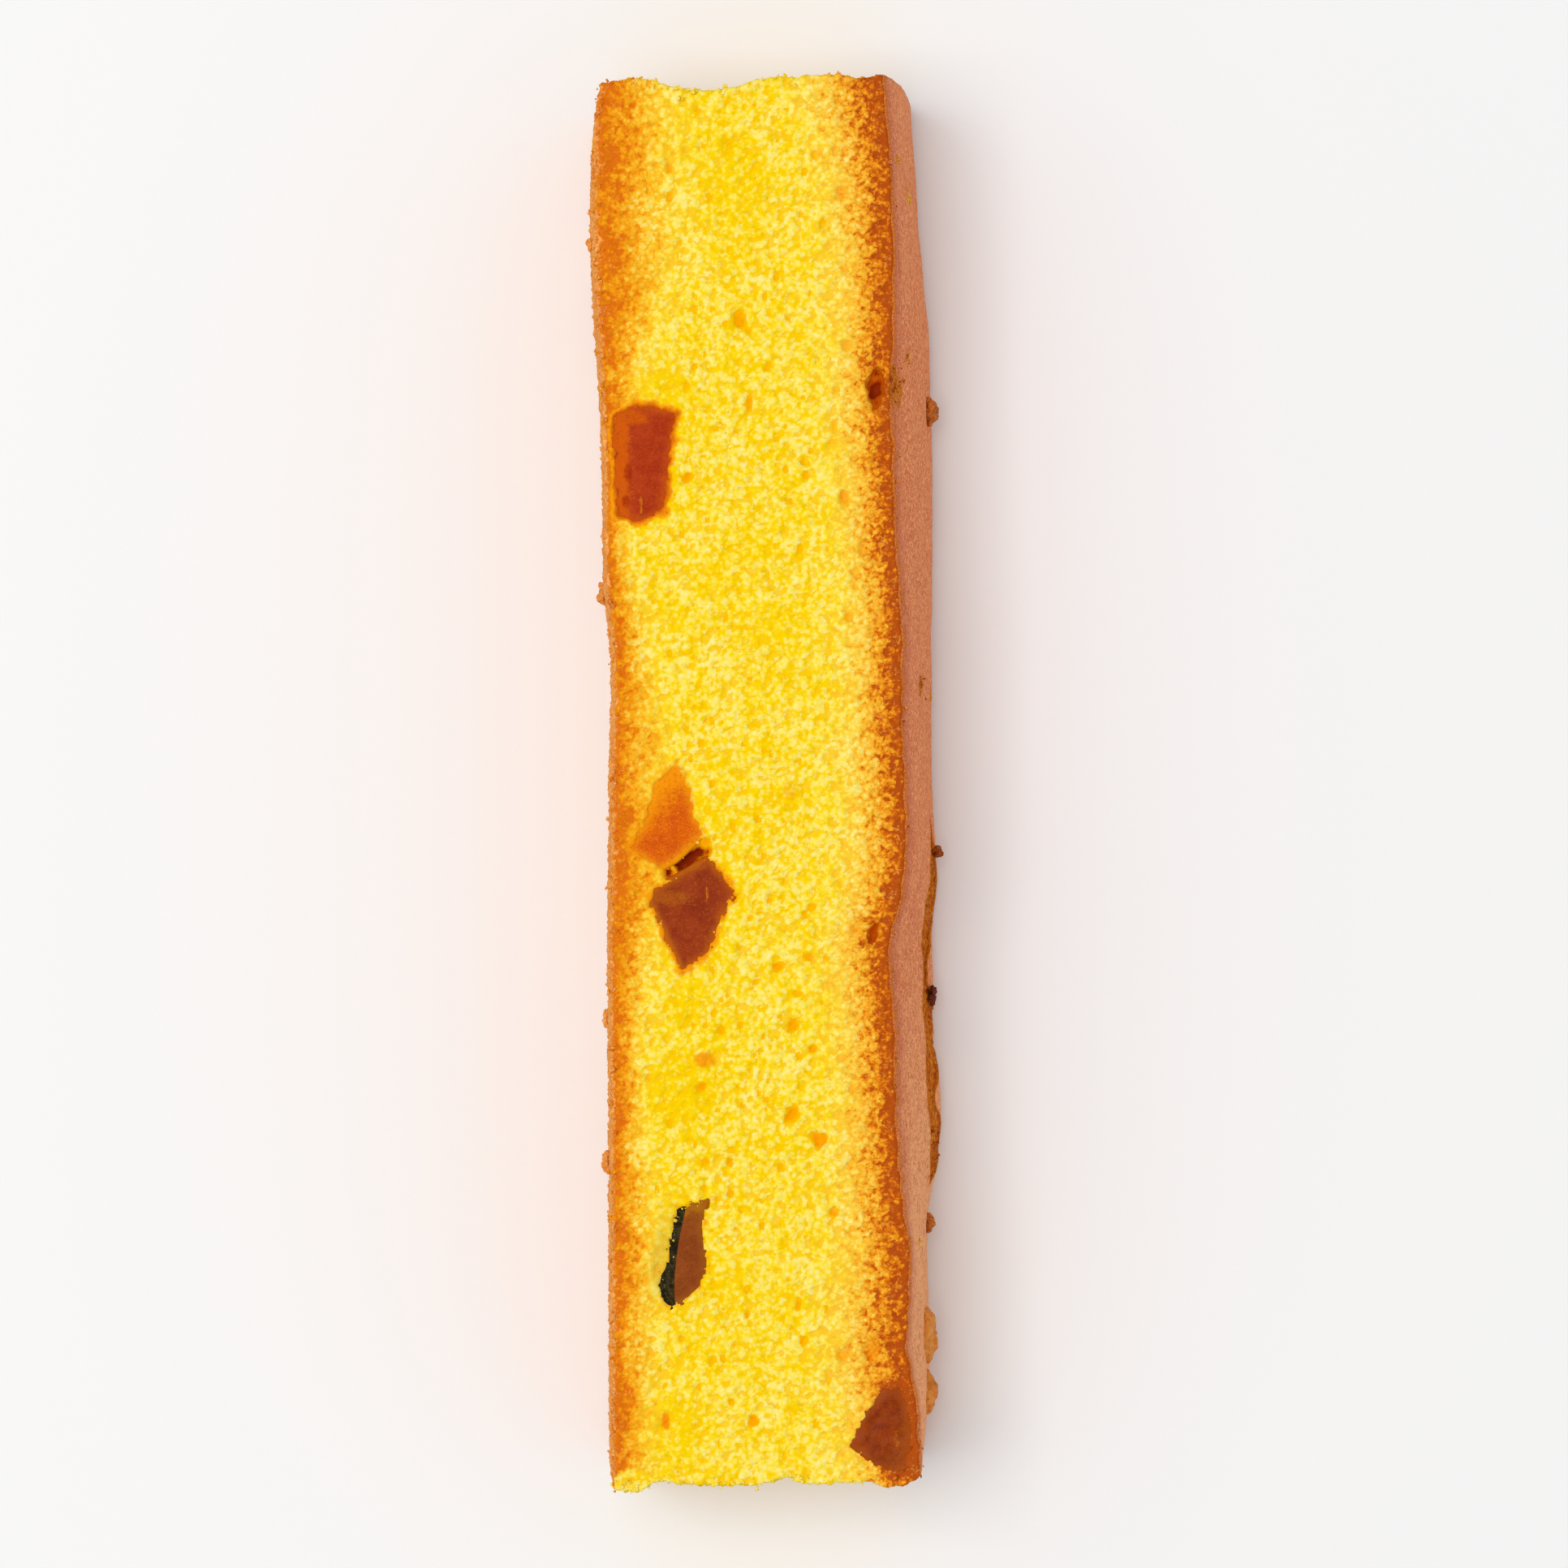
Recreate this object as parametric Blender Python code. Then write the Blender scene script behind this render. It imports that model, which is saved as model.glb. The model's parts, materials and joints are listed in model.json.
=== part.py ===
"""A stick of yellow pumpkin cake with candied pumpkin set in it, lying on one cut face.

Metres, +Z up. The stick runs along Y, its top crust is on the +X side and its bottom crust
on the -X side. The origin is at the middle of the lower cut face, at z = 0. The sizes below
are in millimetres, and MM turns them into metres.
"""

import math
import random

import bmesh
import bpy
from mathutils import Euler, Matrix, Vector, noise

MM = 0.001

# ---- the stick
HALF_LENGTH = 65.0
CUT_HEIGHT = 25.0  # from the lower cut face to the upper one
COLUMNS, ROWS, LAYERS = 18, 70, 13  # faces across, along and up the stick
CRUST_DOME = 1.7  # how late the top crust turns down from the upper cut face
BASE_DOME = 1.3
BASE_OVERHANG = 1.0  # the bottom crust's foot stands this far out of the upper edge
FOOT_TUCK, FOOT_HEIGHT = 0.45, 3.0  # both crusts draw in a little above the table
END_REACH = 8  # higher keeps the ragged ends to the last rows of faces

# Lines seen from above: (place along or across the stick, how far out it is).
CRUST_EDGE = (
    (-66, 14.4), (-59, 14.4), (-52, 13.2), (-44, 13.5), (-35, 12.4), (-22, 12.0), (-14, 11.7),
    (-10, 12.7), (-3, 13.1), (6, 12.7), (13, 12.8), (20, 12.3), (30, 11.8), (53, 11.8), (66, 11.0),
)
CRUST_FOOT = (
    (-66, 14.9), (-61, 15.4), (-40, 15.4), (-34, 16.4), (-24, 16.1), (-15, 15.8), (-9, 16.3),
    (0, 15.9), (13, 15.7), (28, 15.9), (37, 15.6), (43, 15.4), (50, 14.7), (56, 14.1), (66, 13.5),
)
BASE_FOOT = (
    (-66, -14.9), (-30, -15.0), (-15, -15.1), (0, -14.8), (14, -14.7), (18, -15.4), (28, -15.6),
    (37, -15.9), (46, -16.5), (56, -16.7), (62, -16.5), (66, -16.0),
)
FAR_END = (
    (-16.5, 61.0), (-15.5, 63.2), (-13, 64.9), (-10.5, 64.9), (-9.6, 64.2), (-2.4, 64.1),
    (0.3, 65.2), (3, 64.8), (6.5, 65.3), (9.3, 64.9), (11.1, 65.2), (12.9, 63.7), (13.8, 61.7),
)
NEAR_END = (
    (-15, -63.5), (-13.3, -65.2), (-11.4, -65.2), (-10.5, -64.6), (-9.6, -63.9), (2, -63.9),
    (3, -64.4), (10, -64.4), (11, -64.9), (13.8, -64.3), (14.7, -62.7),
)

# ---- relief of the crumb and the crusts: grain size, then how far it moves the surface
SOFT_WAVES = (11.0, 0.22)
CRUMB_LUMPS = (2.9, 0.28)
END_LUMPS = (2.6, 0.70)
BASE_LUMPS = (2.4, 0.30)
SKIN_WAVES = (7.0, 0.15)
EDGE_ROUNDING = 0.35
NOISE_SEED, PORE_SEED = 11, 7

# ---- the crack that runs along the top crust, with its raised lower lip
CRACK_FROM, CRACK_TO = -38.5, -3.0
CRACK_HEIGHT = 9.5
CRACK_HALF_WIDTH = 2.3
CRACK_DEPTH = 1.5
CRACK_WANDER = (6.0, 1.2)
LIP_HEIGHT, LIP_RISE, LIP_WIDTH = 4.0, 0.35, 2.4

# ---- candied pumpkin cut through by the upper face: clockwise outlines seen from above, depths
FIT_GAP = 0.3
CORNER_ROUNDING = 0.45
TAPER = 0.86  # the buried end of a piece against its cut face
SUNK = 0.12  # the cut pumpkin lies this little under the crumb
POCKET_MOUTH = 1.5  # a pocket's cutter stands this far out of the crumb
BLOCK = (
    (-13.7, 33.9), (-11.8, 35.0), (-8.1, 34.2), (-9.3, 24.9), (-11.3, 24.0), (-13.5, 24.4),
    (-13.8, 31.1),
)
WEDGE = (
    (-8.2, 2.0), (-7.0, -0.2), (-6.4, -2.8), (-5.6, -4.8), (-8.2, -7.2), (-9.6, -8.0),
    (-12.6, -6.2), (-11.0, -3.3), (-10.2, 0.0),
)
DIAMOND = (
    (-5.2, -6.9), (-2.5, -10.1), (-3.8, -12.4), (-5.3, -16.0), (-7.6, -17.7), (-10.9, -10.9),
    (-10.2, -9.9),
)
RIND_PIECE = (
    (-4.9, -38.3), (-5.7, -41.0), (-5.2, -44.7), (-5.8, -46.9), (-8.1, -48.4), (-9.2, -48.7),
    (-9.8, -46.4), (-9.1, -44.0), (-8.2, -39.2),
)
CORNER_PIECE = (
    (8.0, -61.0), (9.7, -57.8), (10.9, -56.3), (12.9, -56.9), (13.7, -60.2), (13.1, -63.0),
    (11.0, -62.9),
)
SET_PIECES = (
    ("pumpkin_block", BLOCK, 7.0, (0.45, 0.06, 0.02)),
    ("pumpkin_wedge", WEDGE, 6.5, (0.80, 0.20, 0.01)),
    ("pumpkin_diamond", DIAMOND, 7.5, (0.30, 0.04, 0.02)),
    ("pumpkin_with_rind", RIND_PIECE, 6.0, (0.25, 0.07, 0.02)),
    ("pumpkin_corner", CORNER_PIECE, 7.0, (0.30, 0.06, 0.01)),
)

# ---- candied pumpkin that stands out of the top crust: place along the stick, height, half sizes
LUMP_UNEVENNESS = (1.3, 0.12)
CRUST_PIECES = (
    ("pumpkin_knob_long", -52.3, 9.0, (1.5, 2.6, 2.4), (0.60, 0.16, 0.02)),
    ("pumpkin_knob_short", -57.9, 8.0, (1.5, 2.3, 2.2), (0.45, 0.12, 0.02)),
)
KNOB_SINK = 0.55  # a knob's middle lies this deep in the crust
# ---- crumbs and bits of pumpkin grown fast to a crust: side, place, height, half sizes
TOP_SIDE, BASE_SIDE = 1, -1
CRUST_BITS = (
    (TOP_SIDE, 35.1, 7.0, (0.8, 1.25, 1.1)),
    (TOP_SIDE, -41.8, 8.0, (0.6, 1.1, 0.9)),
    (TOP_SIDE, -20.2, 5.5, (0.6, 1.0, 1.1)),
    (BASE_SIDE, -35.9, 8.0, (0.8, 0.8, 0.9)),
    (BASE_SIDE, 17.9, 9.0, (0.7, 0.7, 0.9)),
    (BASE_SIDE, -22.5, 7.0, (0.6, 0.8, 0.8)),
)
# ---- dents in the top crust: place, height, half sizes
CRUST_DENTS = (
    (8.9, 14.0, (0.45, 1.3, 0.8)),
    (36.5, 19.5, (0.35, 1.4, 0.7)),
)

# ---- holes in the upper cut face: centre, half sizes across and along, depth, turn in degrees
CAVITIES = (
    (-7.2, -7.1, 2.4, 0.8, 3.6, 43),
    (10.2, 36.2, 0.9, 2.1, 2.0, -8),
    (10.1, -14.0, 0.5, 1.2, 1.5, -15),
)
PORE_TURN = 25
LARGE_PORES = (
    (-8.9, 56.8, 0.35, 0.85, 1.2), (7.1, 54.6, 0.65, 0.5, 1.0), (-2.1, 42.6, 0.8, 1.3, 1.2),
    (7.6, 40.4, 0.55, 0.6, 1.0), (-1.4, 34.9, 0.4, 1.2, 1.0), (-7.1, 28.2, 0.75, 0.65, 1.1),
    (3.8, 28.4, 0.5, 0.6, 0.9), (7.4, 26.2, 0.5, 0.95, 1.1), (9.1, 21.5, 0.65, 0.7, 1.1),
    (3.2, 21.5, 0.5, 0.55, 0.9), (1.2, -16.9, 0.7, 0.65, 1.2), (4.0, -16.1, 0.55, 0.6, 1.0),
    (2.6, -22.5, 0.7, 0.75, 1.2), (-4.0, -22.9, 0.45, 0.6, 0.9), (4.4, -24.6, 0.5, 0.5, 1.0),
    (-5.8, -28.1, 0.7, 0.55, 1.0), (2.6, -30.6, 0.85, 0.85, 1.4), (5.0, -33.1, 0.8, 1.0, 1.2),
    (-3.2, -35.1, 0.45, 0.5, 0.9), (6.4, -39.8, 0.55, 0.6, 1.0), (3.1, -48.2, 0.45, 0.7, 1.0),
    (7.2, -53.0, 0.6, 0.6, 1.1), (-1.0, -58.9, 0.5, 0.85, 1.0), (3.6, -51.6, 0.5, 0.5, 0.9),
)


def along(line, at):
    """How far out a line seen from above is at one place, by a smooth curve through its points."""
    if at <= line[0][0]:
        return line[0][1]
    if at >= line[-1][0]:
        return line[-1][1]
    after = next(i for i, point in enumerate(line) if point[0] > at)
    (x1, y1), (x2, y2) = line[after - 1], line[after]
    x0, y0 = line[max(after - 2, 0)]
    x3, y3 = line[min(after + 1, len(line) - 1)]
    step = x2 - x1
    slope_in = (y2 - y0) / (x2 - x0) * step
    slope_out = (y3 - y1) / (x3 - x1) * step
    t = (at - x1) / step
    return (
        y1 * (2 * t**3 - 3 * t**2 + 1)
        + slope_in * (t**3 - 2 * t**2 + t)
        + y2 * (3 * t**2 - 2 * t**3)
        + slope_out * (t**3 - t**2)
    )


def bump(value, middle, half_width):
    """1 at the middle, falling smoothly to 0 at half_width away from it."""
    t = abs(value - middle) / half_width
    return (1 - t * t) ** 2 if t < 1 else 0.0


def lumps(point, relief):
    """A shift of the surface, in millimetres, by a relief's grain size and strength."""
    grain, strength = relief
    return noise.noise_vector(point / grain) * strength


def tuck(height):
    """How far a crust draws in near the table."""
    return FOOT_TUCK * max(0.0, 1 - height / FOOT_HEIGHT) ** 2


def crust_side(y, height):
    """How far out the top crust is at a height above the table."""
    edge, foot = along(CRUST_EDGE, y), along(CRUST_FOOT, y)
    lip = LIP_RISE * bump(height, LIP_HEIGHT, LIP_WIDTH) * crack_strength(y)
    return edge + (foot - edge) * (1 - (height / CUT_HEIGHT) ** CRUST_DOME) + lip - tuck(height)


def base_side(y, height):
    """How far out the bottom crust is, on the -X side."""
    foot = along(BASE_FOOT, y)
    return foot + BASE_OVERHANG * (height / CUT_HEIGHT) ** BASE_DOME + tuck(height)


def crack_strength(y):
    """1 along the middle of the crack, fading to 0 at its two ends."""
    middle, half = (CRACK_FROM + CRACK_TO) / 2, (CRACK_TO - CRACK_FROM) / 2
    return bump(y, middle, half) ** 0.35


def new_material(name, colour, roughness):
    """A plain Principled material."""
    material = bpy.data.materials.new(name)
    material.use_nodes = True
    shader = material.node_tree.nodes["Principled BSDF"]
    shader.inputs["Base Color"].default_value = (*colour, 1.0)
    shader.inputs["Roughness"].default_value = roughness
    shader.inputs["Metallic"].default_value = 0.0
    return material


def add_object(name, bm, centre, collection, material=None):
    """Put a finished bmesh in the scene, round a centre; both are in millimetres."""
    bmesh.ops.scale(bm, vec=(MM, MM, MM), verts=bm.verts)
    mesh = bpy.data.meshes.new(name)
    bm.to_mesh(mesh)
    bm.free()
    thing = bpy.data.objects.new(name, mesh)
    thing.location = Vector(centre) * MM
    collection.objects.link(thing)
    if material:
        mesh.materials.append(material)
    return thing


def divide(bm, axis, parts):
    """Cut every edge that runs along an axis into equal parts."""
    edges = [
        edge for edge in bm.edges
        if abs((edge.verts[0].co - edge.verts[1].co).normalized()[axis]) > 0.99
    ]
    bmesh.ops.subdivide_edges(bm, edges=edges, cuts=parts - 1, use_grid_fill=True)


def shape_stick(co):
    """Move a point of the plain block, given from -1 to 1 on each axis, to the stick's surface."""
    height = (co.z + 1) / 2 * CUT_HEIGHT
    nominal_y = co.y * HALF_LENGTH
    left, right = base_side(nominal_y, height), crust_side(nominal_y, height)
    x = left + (right - left) * (co.x + 1) / 2
    end = along(FAR_END, x) if co.y > 0 else along(NEAR_END, x)
    y = nominal_y + (end - math.copysign(HALF_LENGTH, co.y)) * abs(co.y) ** END_REACH
    point = Vector((x, y, height))

    on_crust, on_base = co.x > 0.999, co.x < -0.999
    on_end, on_top = abs(co.y) > 0.999, co.z > 0.999
    shift = Vector((0, 0, 0))
    if on_top:
        shift += lumps(point, SOFT_WAVES) + lumps(point, CRUMB_LUMPS)
    if on_end:
        shift += lumps(point, END_LUMPS)
    if on_base:
        shift += lumps(point, BASE_LUMPS)
    if on_crust:
        shift += lumps(point, SKIN_WAVES)
    if on_top and (on_crust or on_base or on_end):
        shift.z -= EDGE_ROUNDING
        shift.x -= math.copysign(EDGE_ROUNDING, co.x) * (on_crust or on_base)
        shift.y -= math.copysign(EDGE_ROUNDING, co.y) * on_end
    point += shift
    if co.z < -0.999:
        point.z = 0.0
    return point


def make_stick(collection):
    """The cake itself: a block with a net of faces, shaped, and one flat face to lie on."""
    bm = bmesh.new()
    bmesh.ops.create_cube(bm, size=2.0)
    for axis, parts in enumerate((COLUMNS, ROWS, LAYERS)):
        divide(bm, axis, parts)
    for vert in bm.verts:
        vert.co = shape_stick(vert.co)
    table_faces = [face for face in bm.faces if all(v.co.z < 1e-6 for v in face.verts)]
    bmesh.ops.dissolve_faces(bm, faces=table_faces, use_verts=True)
    crumb = new_material("crumb", (0.95, 0.62, 0.04), 0.85)
    return add_object("cake", bm, (0, 0, 0), collection, crumb)


def grown(outline, by):
    """A clockwise outline with each of its sides moved outwards by the same distance."""
    corners = [Vector(corner) for corner in outline]
    moved = []
    for number, corner in enumerate(corners):
        sides = corner - corners[number - 1], corners[(number + 1) % len(corners)] - corner
        first, second = [Vector((-side.y, side.x)).normalized() for side in sides]
        moved.append(corner + (first + second) * by / (1 + first.dot(second)))
    return moved


def outline_plate(name, outline, thickness):
    """A flat plate under an outline, as a bmesh, from a filled 2D curve."""
    curve = bpy.data.curves.new(name, "CURVE")
    curve.dimensions = "2D"
    curve.fill_mode = "BOTH"
    curve.extrude = thickness / 2
    spline = curve.splines.new("POLY")
    spline.points.add(len(outline) - 1)
    for point, corner in zip(spline.points, outline):
        point.co = (*corner, 0, 1)
    spline.use_cyclic_u = True
    holder = bpy.data.objects.new(name, curve)
    bpy.context.scene.collection.objects.link(holder)
    bpy.context.view_layer.update()
    shown = holder.evaluated_get(bpy.context.evaluated_depsgraph_get())
    mesh = bpy.data.meshes.new_from_object(shown)
    bpy.data.objects.remove(holder)
    bpy.data.curves.remove(curve)

    bm = bmesh.new()
    bm.from_mesh(mesh)
    bpy.data.meshes.remove(mesh)
    bmesh.ops.remove_doubles(bm, verts=bm.verts, dist=0.001)
    bmesh.ops.dissolve_limit(bm, angle_limit=0.01, verts=bm.verts, edges=bm.edges)
    bmesh.ops.recalc_face_normals(bm, faces=bm.faces)
    return bm


def make_set_piece(name, outline, depth, collection, material=None, gap=0.0, mouth=0.0):
    """Candied pumpkin under an outline, narrower where it is buried; with a gap, its pocket."""
    middle = sum((Vector(corner) for corner in outline), Vector((0, 0))) / len(outline)
    around_middle = [corner - middle for corner in grown(outline, gap)]
    bm = outline_plate(name, around_middle, depth)
    for vert in bm.verts:
        if vert.co.z < 0:
            vert.co = (vert.co.x * TAPER, vert.co.y * TAPER, -depth - gap)
        else:
            vert.co.z = mouth
    rounded = [edge for edge in bm.edges if min(v.co.z for v in edge.verts) < 0]
    bmesh.ops.bevel(
        bm, geom=rounded, offset=CORNER_ROUNDING, segments=1, affect="EDGES", profile=0.5
    )
    return add_object(name, bm, (*middle, CUT_HEIGHT - SUNK), collection, material)


def make_lump(name, centre, half_sizes, collection, material=None, gap=0.0):
    """A rounded, slightly uneven lump; with a gap, its pocket."""
    frequency, strength = LUMP_UNEVENNESS
    bm = bmesh.new()
    bmesh.ops.create_icosphere(bm, subdivisions=2, radius=1.0)
    for vert in bm.verts:
        uneven = 1 + strength * noise.noise(vert.co * frequency + Vector(centre))
        vert.co = [(half * uneven + gap) * c for half, c in zip(half_sizes, vert.co)]
    return add_object(name, bm, centre, collection, material)


def make_holes(name, holes, collection):
    """One cutter that holds several holes of the upper cut face, each a small flattened ball."""
    rng = random.Random(PORE_SEED)
    bm = bmesh.new()
    for x, y, across, lengthwise, depth, *turn in holes:
        spin = math.radians(turn[0] if turn else rng.uniform(-PORE_TURN, PORE_TURN))
        place = (
            Matrix.Translation((x, y, 0))
            @ Euler((0, 0, spin)).to_matrix().to_4x4()
            @ Matrix.Diagonal((across, lengthwise, depth, 1))
        )
        bmesh.ops.create_icosphere(bm, subdivisions=1, radius=1.0, matrix=place)
    return add_object(name, bm, (0, 0, CUT_HEIGHT), collection)


def make_crack(collection):
    """The cutter for the long crack: a flat spindle that follows the top crust."""
    bm = bmesh.new()
    bmesh.ops.create_uvsphere(bm, u_segments=10, v_segments=22, radius=1.0)
    middle, half = (CRACK_FROM + CRACK_TO) / 2, (CRACK_TO - CRACK_FROM) / 2
    wavelength, wander = CRACK_WANDER
    for vert in bm.verts:
        y = middle + half * vert.co.z
        height = CRACK_HEIGHT + wander * noise.noise(Vector((y / wavelength, 0, 0)))
        height += CRACK_HALF_WIDTH * vert.co.y
        vert.co = Vector((crust_side(y, CRACK_HEIGHT) + CRACK_DEPTH * vert.co.x, y, height))
    bmesh.ops.recalc_face_normals(bm, faces=bm.faces)
    return add_object("crack_cutter", bm, (0, 0, 0), collection)


def combine(target, tool, operation):
    """Cut the tool out of the target, or join it on."""
    modifier = target.modifiers.new(tool.name, "BOOLEAN")
    modifier.operation = operation
    modifier.solver = "EXACT"
    modifier.object = tool
    tool.hide_render = True
    tool.display_type = "WIRE"


def finish_crusts(cake, cutters):
    """Join the fused bits on, and cut the crack and the dents."""
    for number, (side, y, height, half_sizes) in enumerate(CRUST_BITS):
        x = crust_side(y, height) if side == TOP_SIDE else base_side(y, height)
        combine(cake, make_lump(f"bit_{number}", (x, y, height), half_sizes, cutters), "UNION")
    combine(cake, make_crack(cutters), "DIFFERENCE")
    for number, (y, height, half_sizes) in enumerate(CRUST_DENTS):
        centre = crust_side(y, height), y, height
        combine(cake, make_lump(f"dent_{number}", centre, half_sizes, cutters), "DIFFERENCE")


def set_pumpkin(cake, parts, cutters):
    """The candied pumpkin, each piece in a pocket of the cake."""
    for name, outline, depth, colour in SET_PIECES:
        make_set_piece(name, outline, depth, parts, new_material(name, colour, 0.35))
        pocket = make_set_piece(
            f"{name}_pocket", outline, depth, cutters, gap=FIT_GAP, mouth=POCKET_MOUTH
        )
        combine(cake, pocket, "DIFFERENCE")
    for name, y, height, half_sizes, colour in CRUST_PIECES:
        centre = crust_side(y, height) - KNOB_SINK, y, height
        make_lump(name, centre, half_sizes, parts, new_material(name, colour, 0.3))
        pocket = make_lump(f"{name}_pocket", centre, half_sizes, cutters, gap=FIT_GAP)
        combine(cake, pocket, "DIFFERENCE")


def main():
    noise.seed_set(NOISE_SEED)
    for thing in list(bpy.data.objects):
        bpy.data.objects.remove(thing, do_unlink=True)
    parts = bpy.data.collections.new("pumpkin_cake_stick")
    cutters = bpy.data.collections.new("cutters")
    for collection in (parts, cutters):
        bpy.context.scene.collection.children.link(collection)

    cake = make_stick(parts)
    finish_crusts(cake, cutters)
    combine(cake, make_holes("pore_cutters", LARGE_PORES, cutters), "DIFFERENCE")
    set_pumpkin(cake, parts, cutters)
    combine(cake, make_holes("cavity_cutters", CAVITIES, cutters), "DIFFERENCE")


main()
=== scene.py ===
import json
import math
import random

import bpy
import numpy as np
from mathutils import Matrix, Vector, noise

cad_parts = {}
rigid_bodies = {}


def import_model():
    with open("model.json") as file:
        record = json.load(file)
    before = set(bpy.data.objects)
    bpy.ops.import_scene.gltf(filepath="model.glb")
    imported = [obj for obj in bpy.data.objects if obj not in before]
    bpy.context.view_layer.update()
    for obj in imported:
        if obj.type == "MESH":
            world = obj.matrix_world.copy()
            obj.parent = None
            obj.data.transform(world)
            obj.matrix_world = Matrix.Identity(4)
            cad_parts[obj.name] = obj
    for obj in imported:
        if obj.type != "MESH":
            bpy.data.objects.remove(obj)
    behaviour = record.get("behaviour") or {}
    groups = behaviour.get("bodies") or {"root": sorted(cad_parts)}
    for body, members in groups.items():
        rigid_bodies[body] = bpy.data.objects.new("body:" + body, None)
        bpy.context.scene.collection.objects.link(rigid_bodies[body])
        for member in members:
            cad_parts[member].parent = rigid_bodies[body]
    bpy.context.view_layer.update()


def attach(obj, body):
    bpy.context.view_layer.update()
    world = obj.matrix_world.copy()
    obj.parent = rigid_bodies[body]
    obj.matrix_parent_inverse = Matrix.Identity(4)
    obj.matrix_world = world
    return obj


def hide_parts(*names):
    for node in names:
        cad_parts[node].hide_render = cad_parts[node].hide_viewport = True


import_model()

# A stick of yellow pumpkin cake lying on one cut face. +Y runs along the stick, the top
# crust is on +X and the bottom crust on -X. Sizes are in millimetres unless they say so.
MM = 0.001
NOISE_SEED = 5
noise.seed_set(NOISE_SEED)

# ---- the stick
HALF_LENGTH = 65.0
CUT_HEIGHT = 25.0
CRUST_DOME, BASE_DOME = 1.7, 1.3  # over 1 rounds a side towards the upper cut face
BASE_OVERHANG = 1.0
FOOT_TUCK, FOOT_HEIGHT = 0.45, 3.0
END_REACH = 8  # the higher, the nearer to the ends their unevenness stays
ROW_CUTS, COLUMN_CUTS, RING_CUTS = (27, 20), 104, 24
RING_CROWDING = 1.35  # over 1 draws the rings together near the upper cut face
HOLLOWS = 0.15  # how deep the crumb's small hollows are
POCKET_DEPTH = 1.6  # how far the crumb sinks under the set pumpkin
EDGE_OVERLAP = 0.35  # how far the set pumpkin reaches under the crumb round it
END_SHADE_TONE_DEPTH = 5.9  # the ends are painted in the tone of crumb this far in from a crust, a warmer colour that stands in for the shade on them

# Lines seen from above: (place along or across the stick, how far out it is).
CRUST_EDGE = (
    (-66, 14.4), (-59, 14.2), (-52, 13.2), (-44, 13.5), (-35, 12.4), (-22, 12.0), (-14, 11.7),
    (-10, 12.7), (-3, 13.1), (6, 12.7), (13, 12.8), (20, 12.3), (30, 11.8), (53, 11.8), (66, 11.0),
)
CRUST_FOOT = (
    (-66, 14.9), (-61, 15.5), (-54, 15.7), (-40, 15.8), (-35, 16.7), (-24, 16.1), (-15, 15.8),
    (-9, 16.3), (0, 16.0), (13, 16.0), (28, 16.1), (37, 15.9), (43, 15.7), (50, 15.0), (56, 14.5),
    (66, 14.0),
)
BASE_FOOT = (
    (-66, -14.9), (-30, -15.0), (-15, -15.1), (0, -14.95), (14, -14.95), (18, -15.4), (28, -15.6),
    (37, -15.9), (46, -16.5), (56, -16.7), (62, -16.5), (66, -16.0),
)
FAR_END = (
    (-16.5, 62.3), (-15.5, 63.9), (-13, 64.8), (-10.5, 64.8), (-9.4, 64.4), (-2.4, 64.2),
    (-0.3, 64.9), (2, 65.0), (6.5, 65.3), (9.3, 65.0), (11.1, 65.3), (12.9, 65.2), (14.2, 64.4),
)
NEAR_END = (
    (-15.4, -63.6), (-13.8, -65.2), (-11.4, -65.2), (-10.4, -64.7), (-9.4, -64.5), (-7, -64.8),
    (-2, -64.8), (1, -64.5), (2, -64.2), (3, -64.5), (10, -64.7), (11, -64.9), (13, -64.8),
    (14.2, -64.2), (15.2, -63.2),
)
# How strongly each crust has browned the crumb behind it, along the stick.
CRUST_BROWNING = (
    (-66, 1.15), (-58, 1.25), (-45, 1.15), (-30, 0.9), (-18, 0.95), (-5, 0.9), (8, 0.9),
    (20, 0.85), (35, 0.9), (50, 1.0), (66, 1.25),
)
BASE_BROWNING = (
    (-66, 0.7), (-50, 0.85), (-40, 0.75), (-25, 0.6), (-14, 0.9), (-5, 1.2), (4, 0.9), (12, 0.7),
    (22, 0.5), (34, 0.6), (40, 1.0), (50, 1.6), (60, 1.45), (66, 1.3),
)

# ---- the top crust's skin, and the crack torn in it: (place along the stick, height)
SKIN = 0.32
SKIN_ROWS, SKIN_RINGS, CRACK_RING = 360, 64, 24
LIP_HEIGHT, LIP_RISE, LIP_WIDTH = 4.0, 0.35, 2.4
CRACK_DEPTH, CRACK_UNDERCUT = 0.05, 0.9
CRACK_MIDDLE, CRACK_HALF = -20.75, 17.75
CRACK_ABOVE = (
    (-38.5, 9.5), (-36, 11.2), (-33.5, 11.6), (-30, 12.6), (-26, 11.8), (-22, 12.1), (-17, 10.9),
    (-12, 11.5), (-8.5, 10.2), (-6, 10.3), (-3, 9.5),
)
CRACK_BELOW = (
    (-38.5, 9.5), (-37.4, 5.2), (-36.4, 3.4), (-33.6, 2.6), (-32, 4.6), (-30.6, 6.9), (-28.8, 5.8),
    (-27.2, 3.8), (-24.6, 2.2), (-21.2, 3.0), (-19.8, 5.2), (-18.2, 7.2), (-16.2, 5.9), (-14.4, 4.4),
    (-11.0, 2.6), (-8.2, 3.9), (-5.4, 6.4), (-3, 9.5),
)
# Dents in the skin: place, height, half sizes along and up, depth.
SKIN_DENTS = (
    (8.9, 14.0, 1.6, 2.6, 0.55), (36.7, 23.0, 2.3, 4.4, 0.5), (18.6, 15.0, 0.35, 6.0, 0.25),
)

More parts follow.
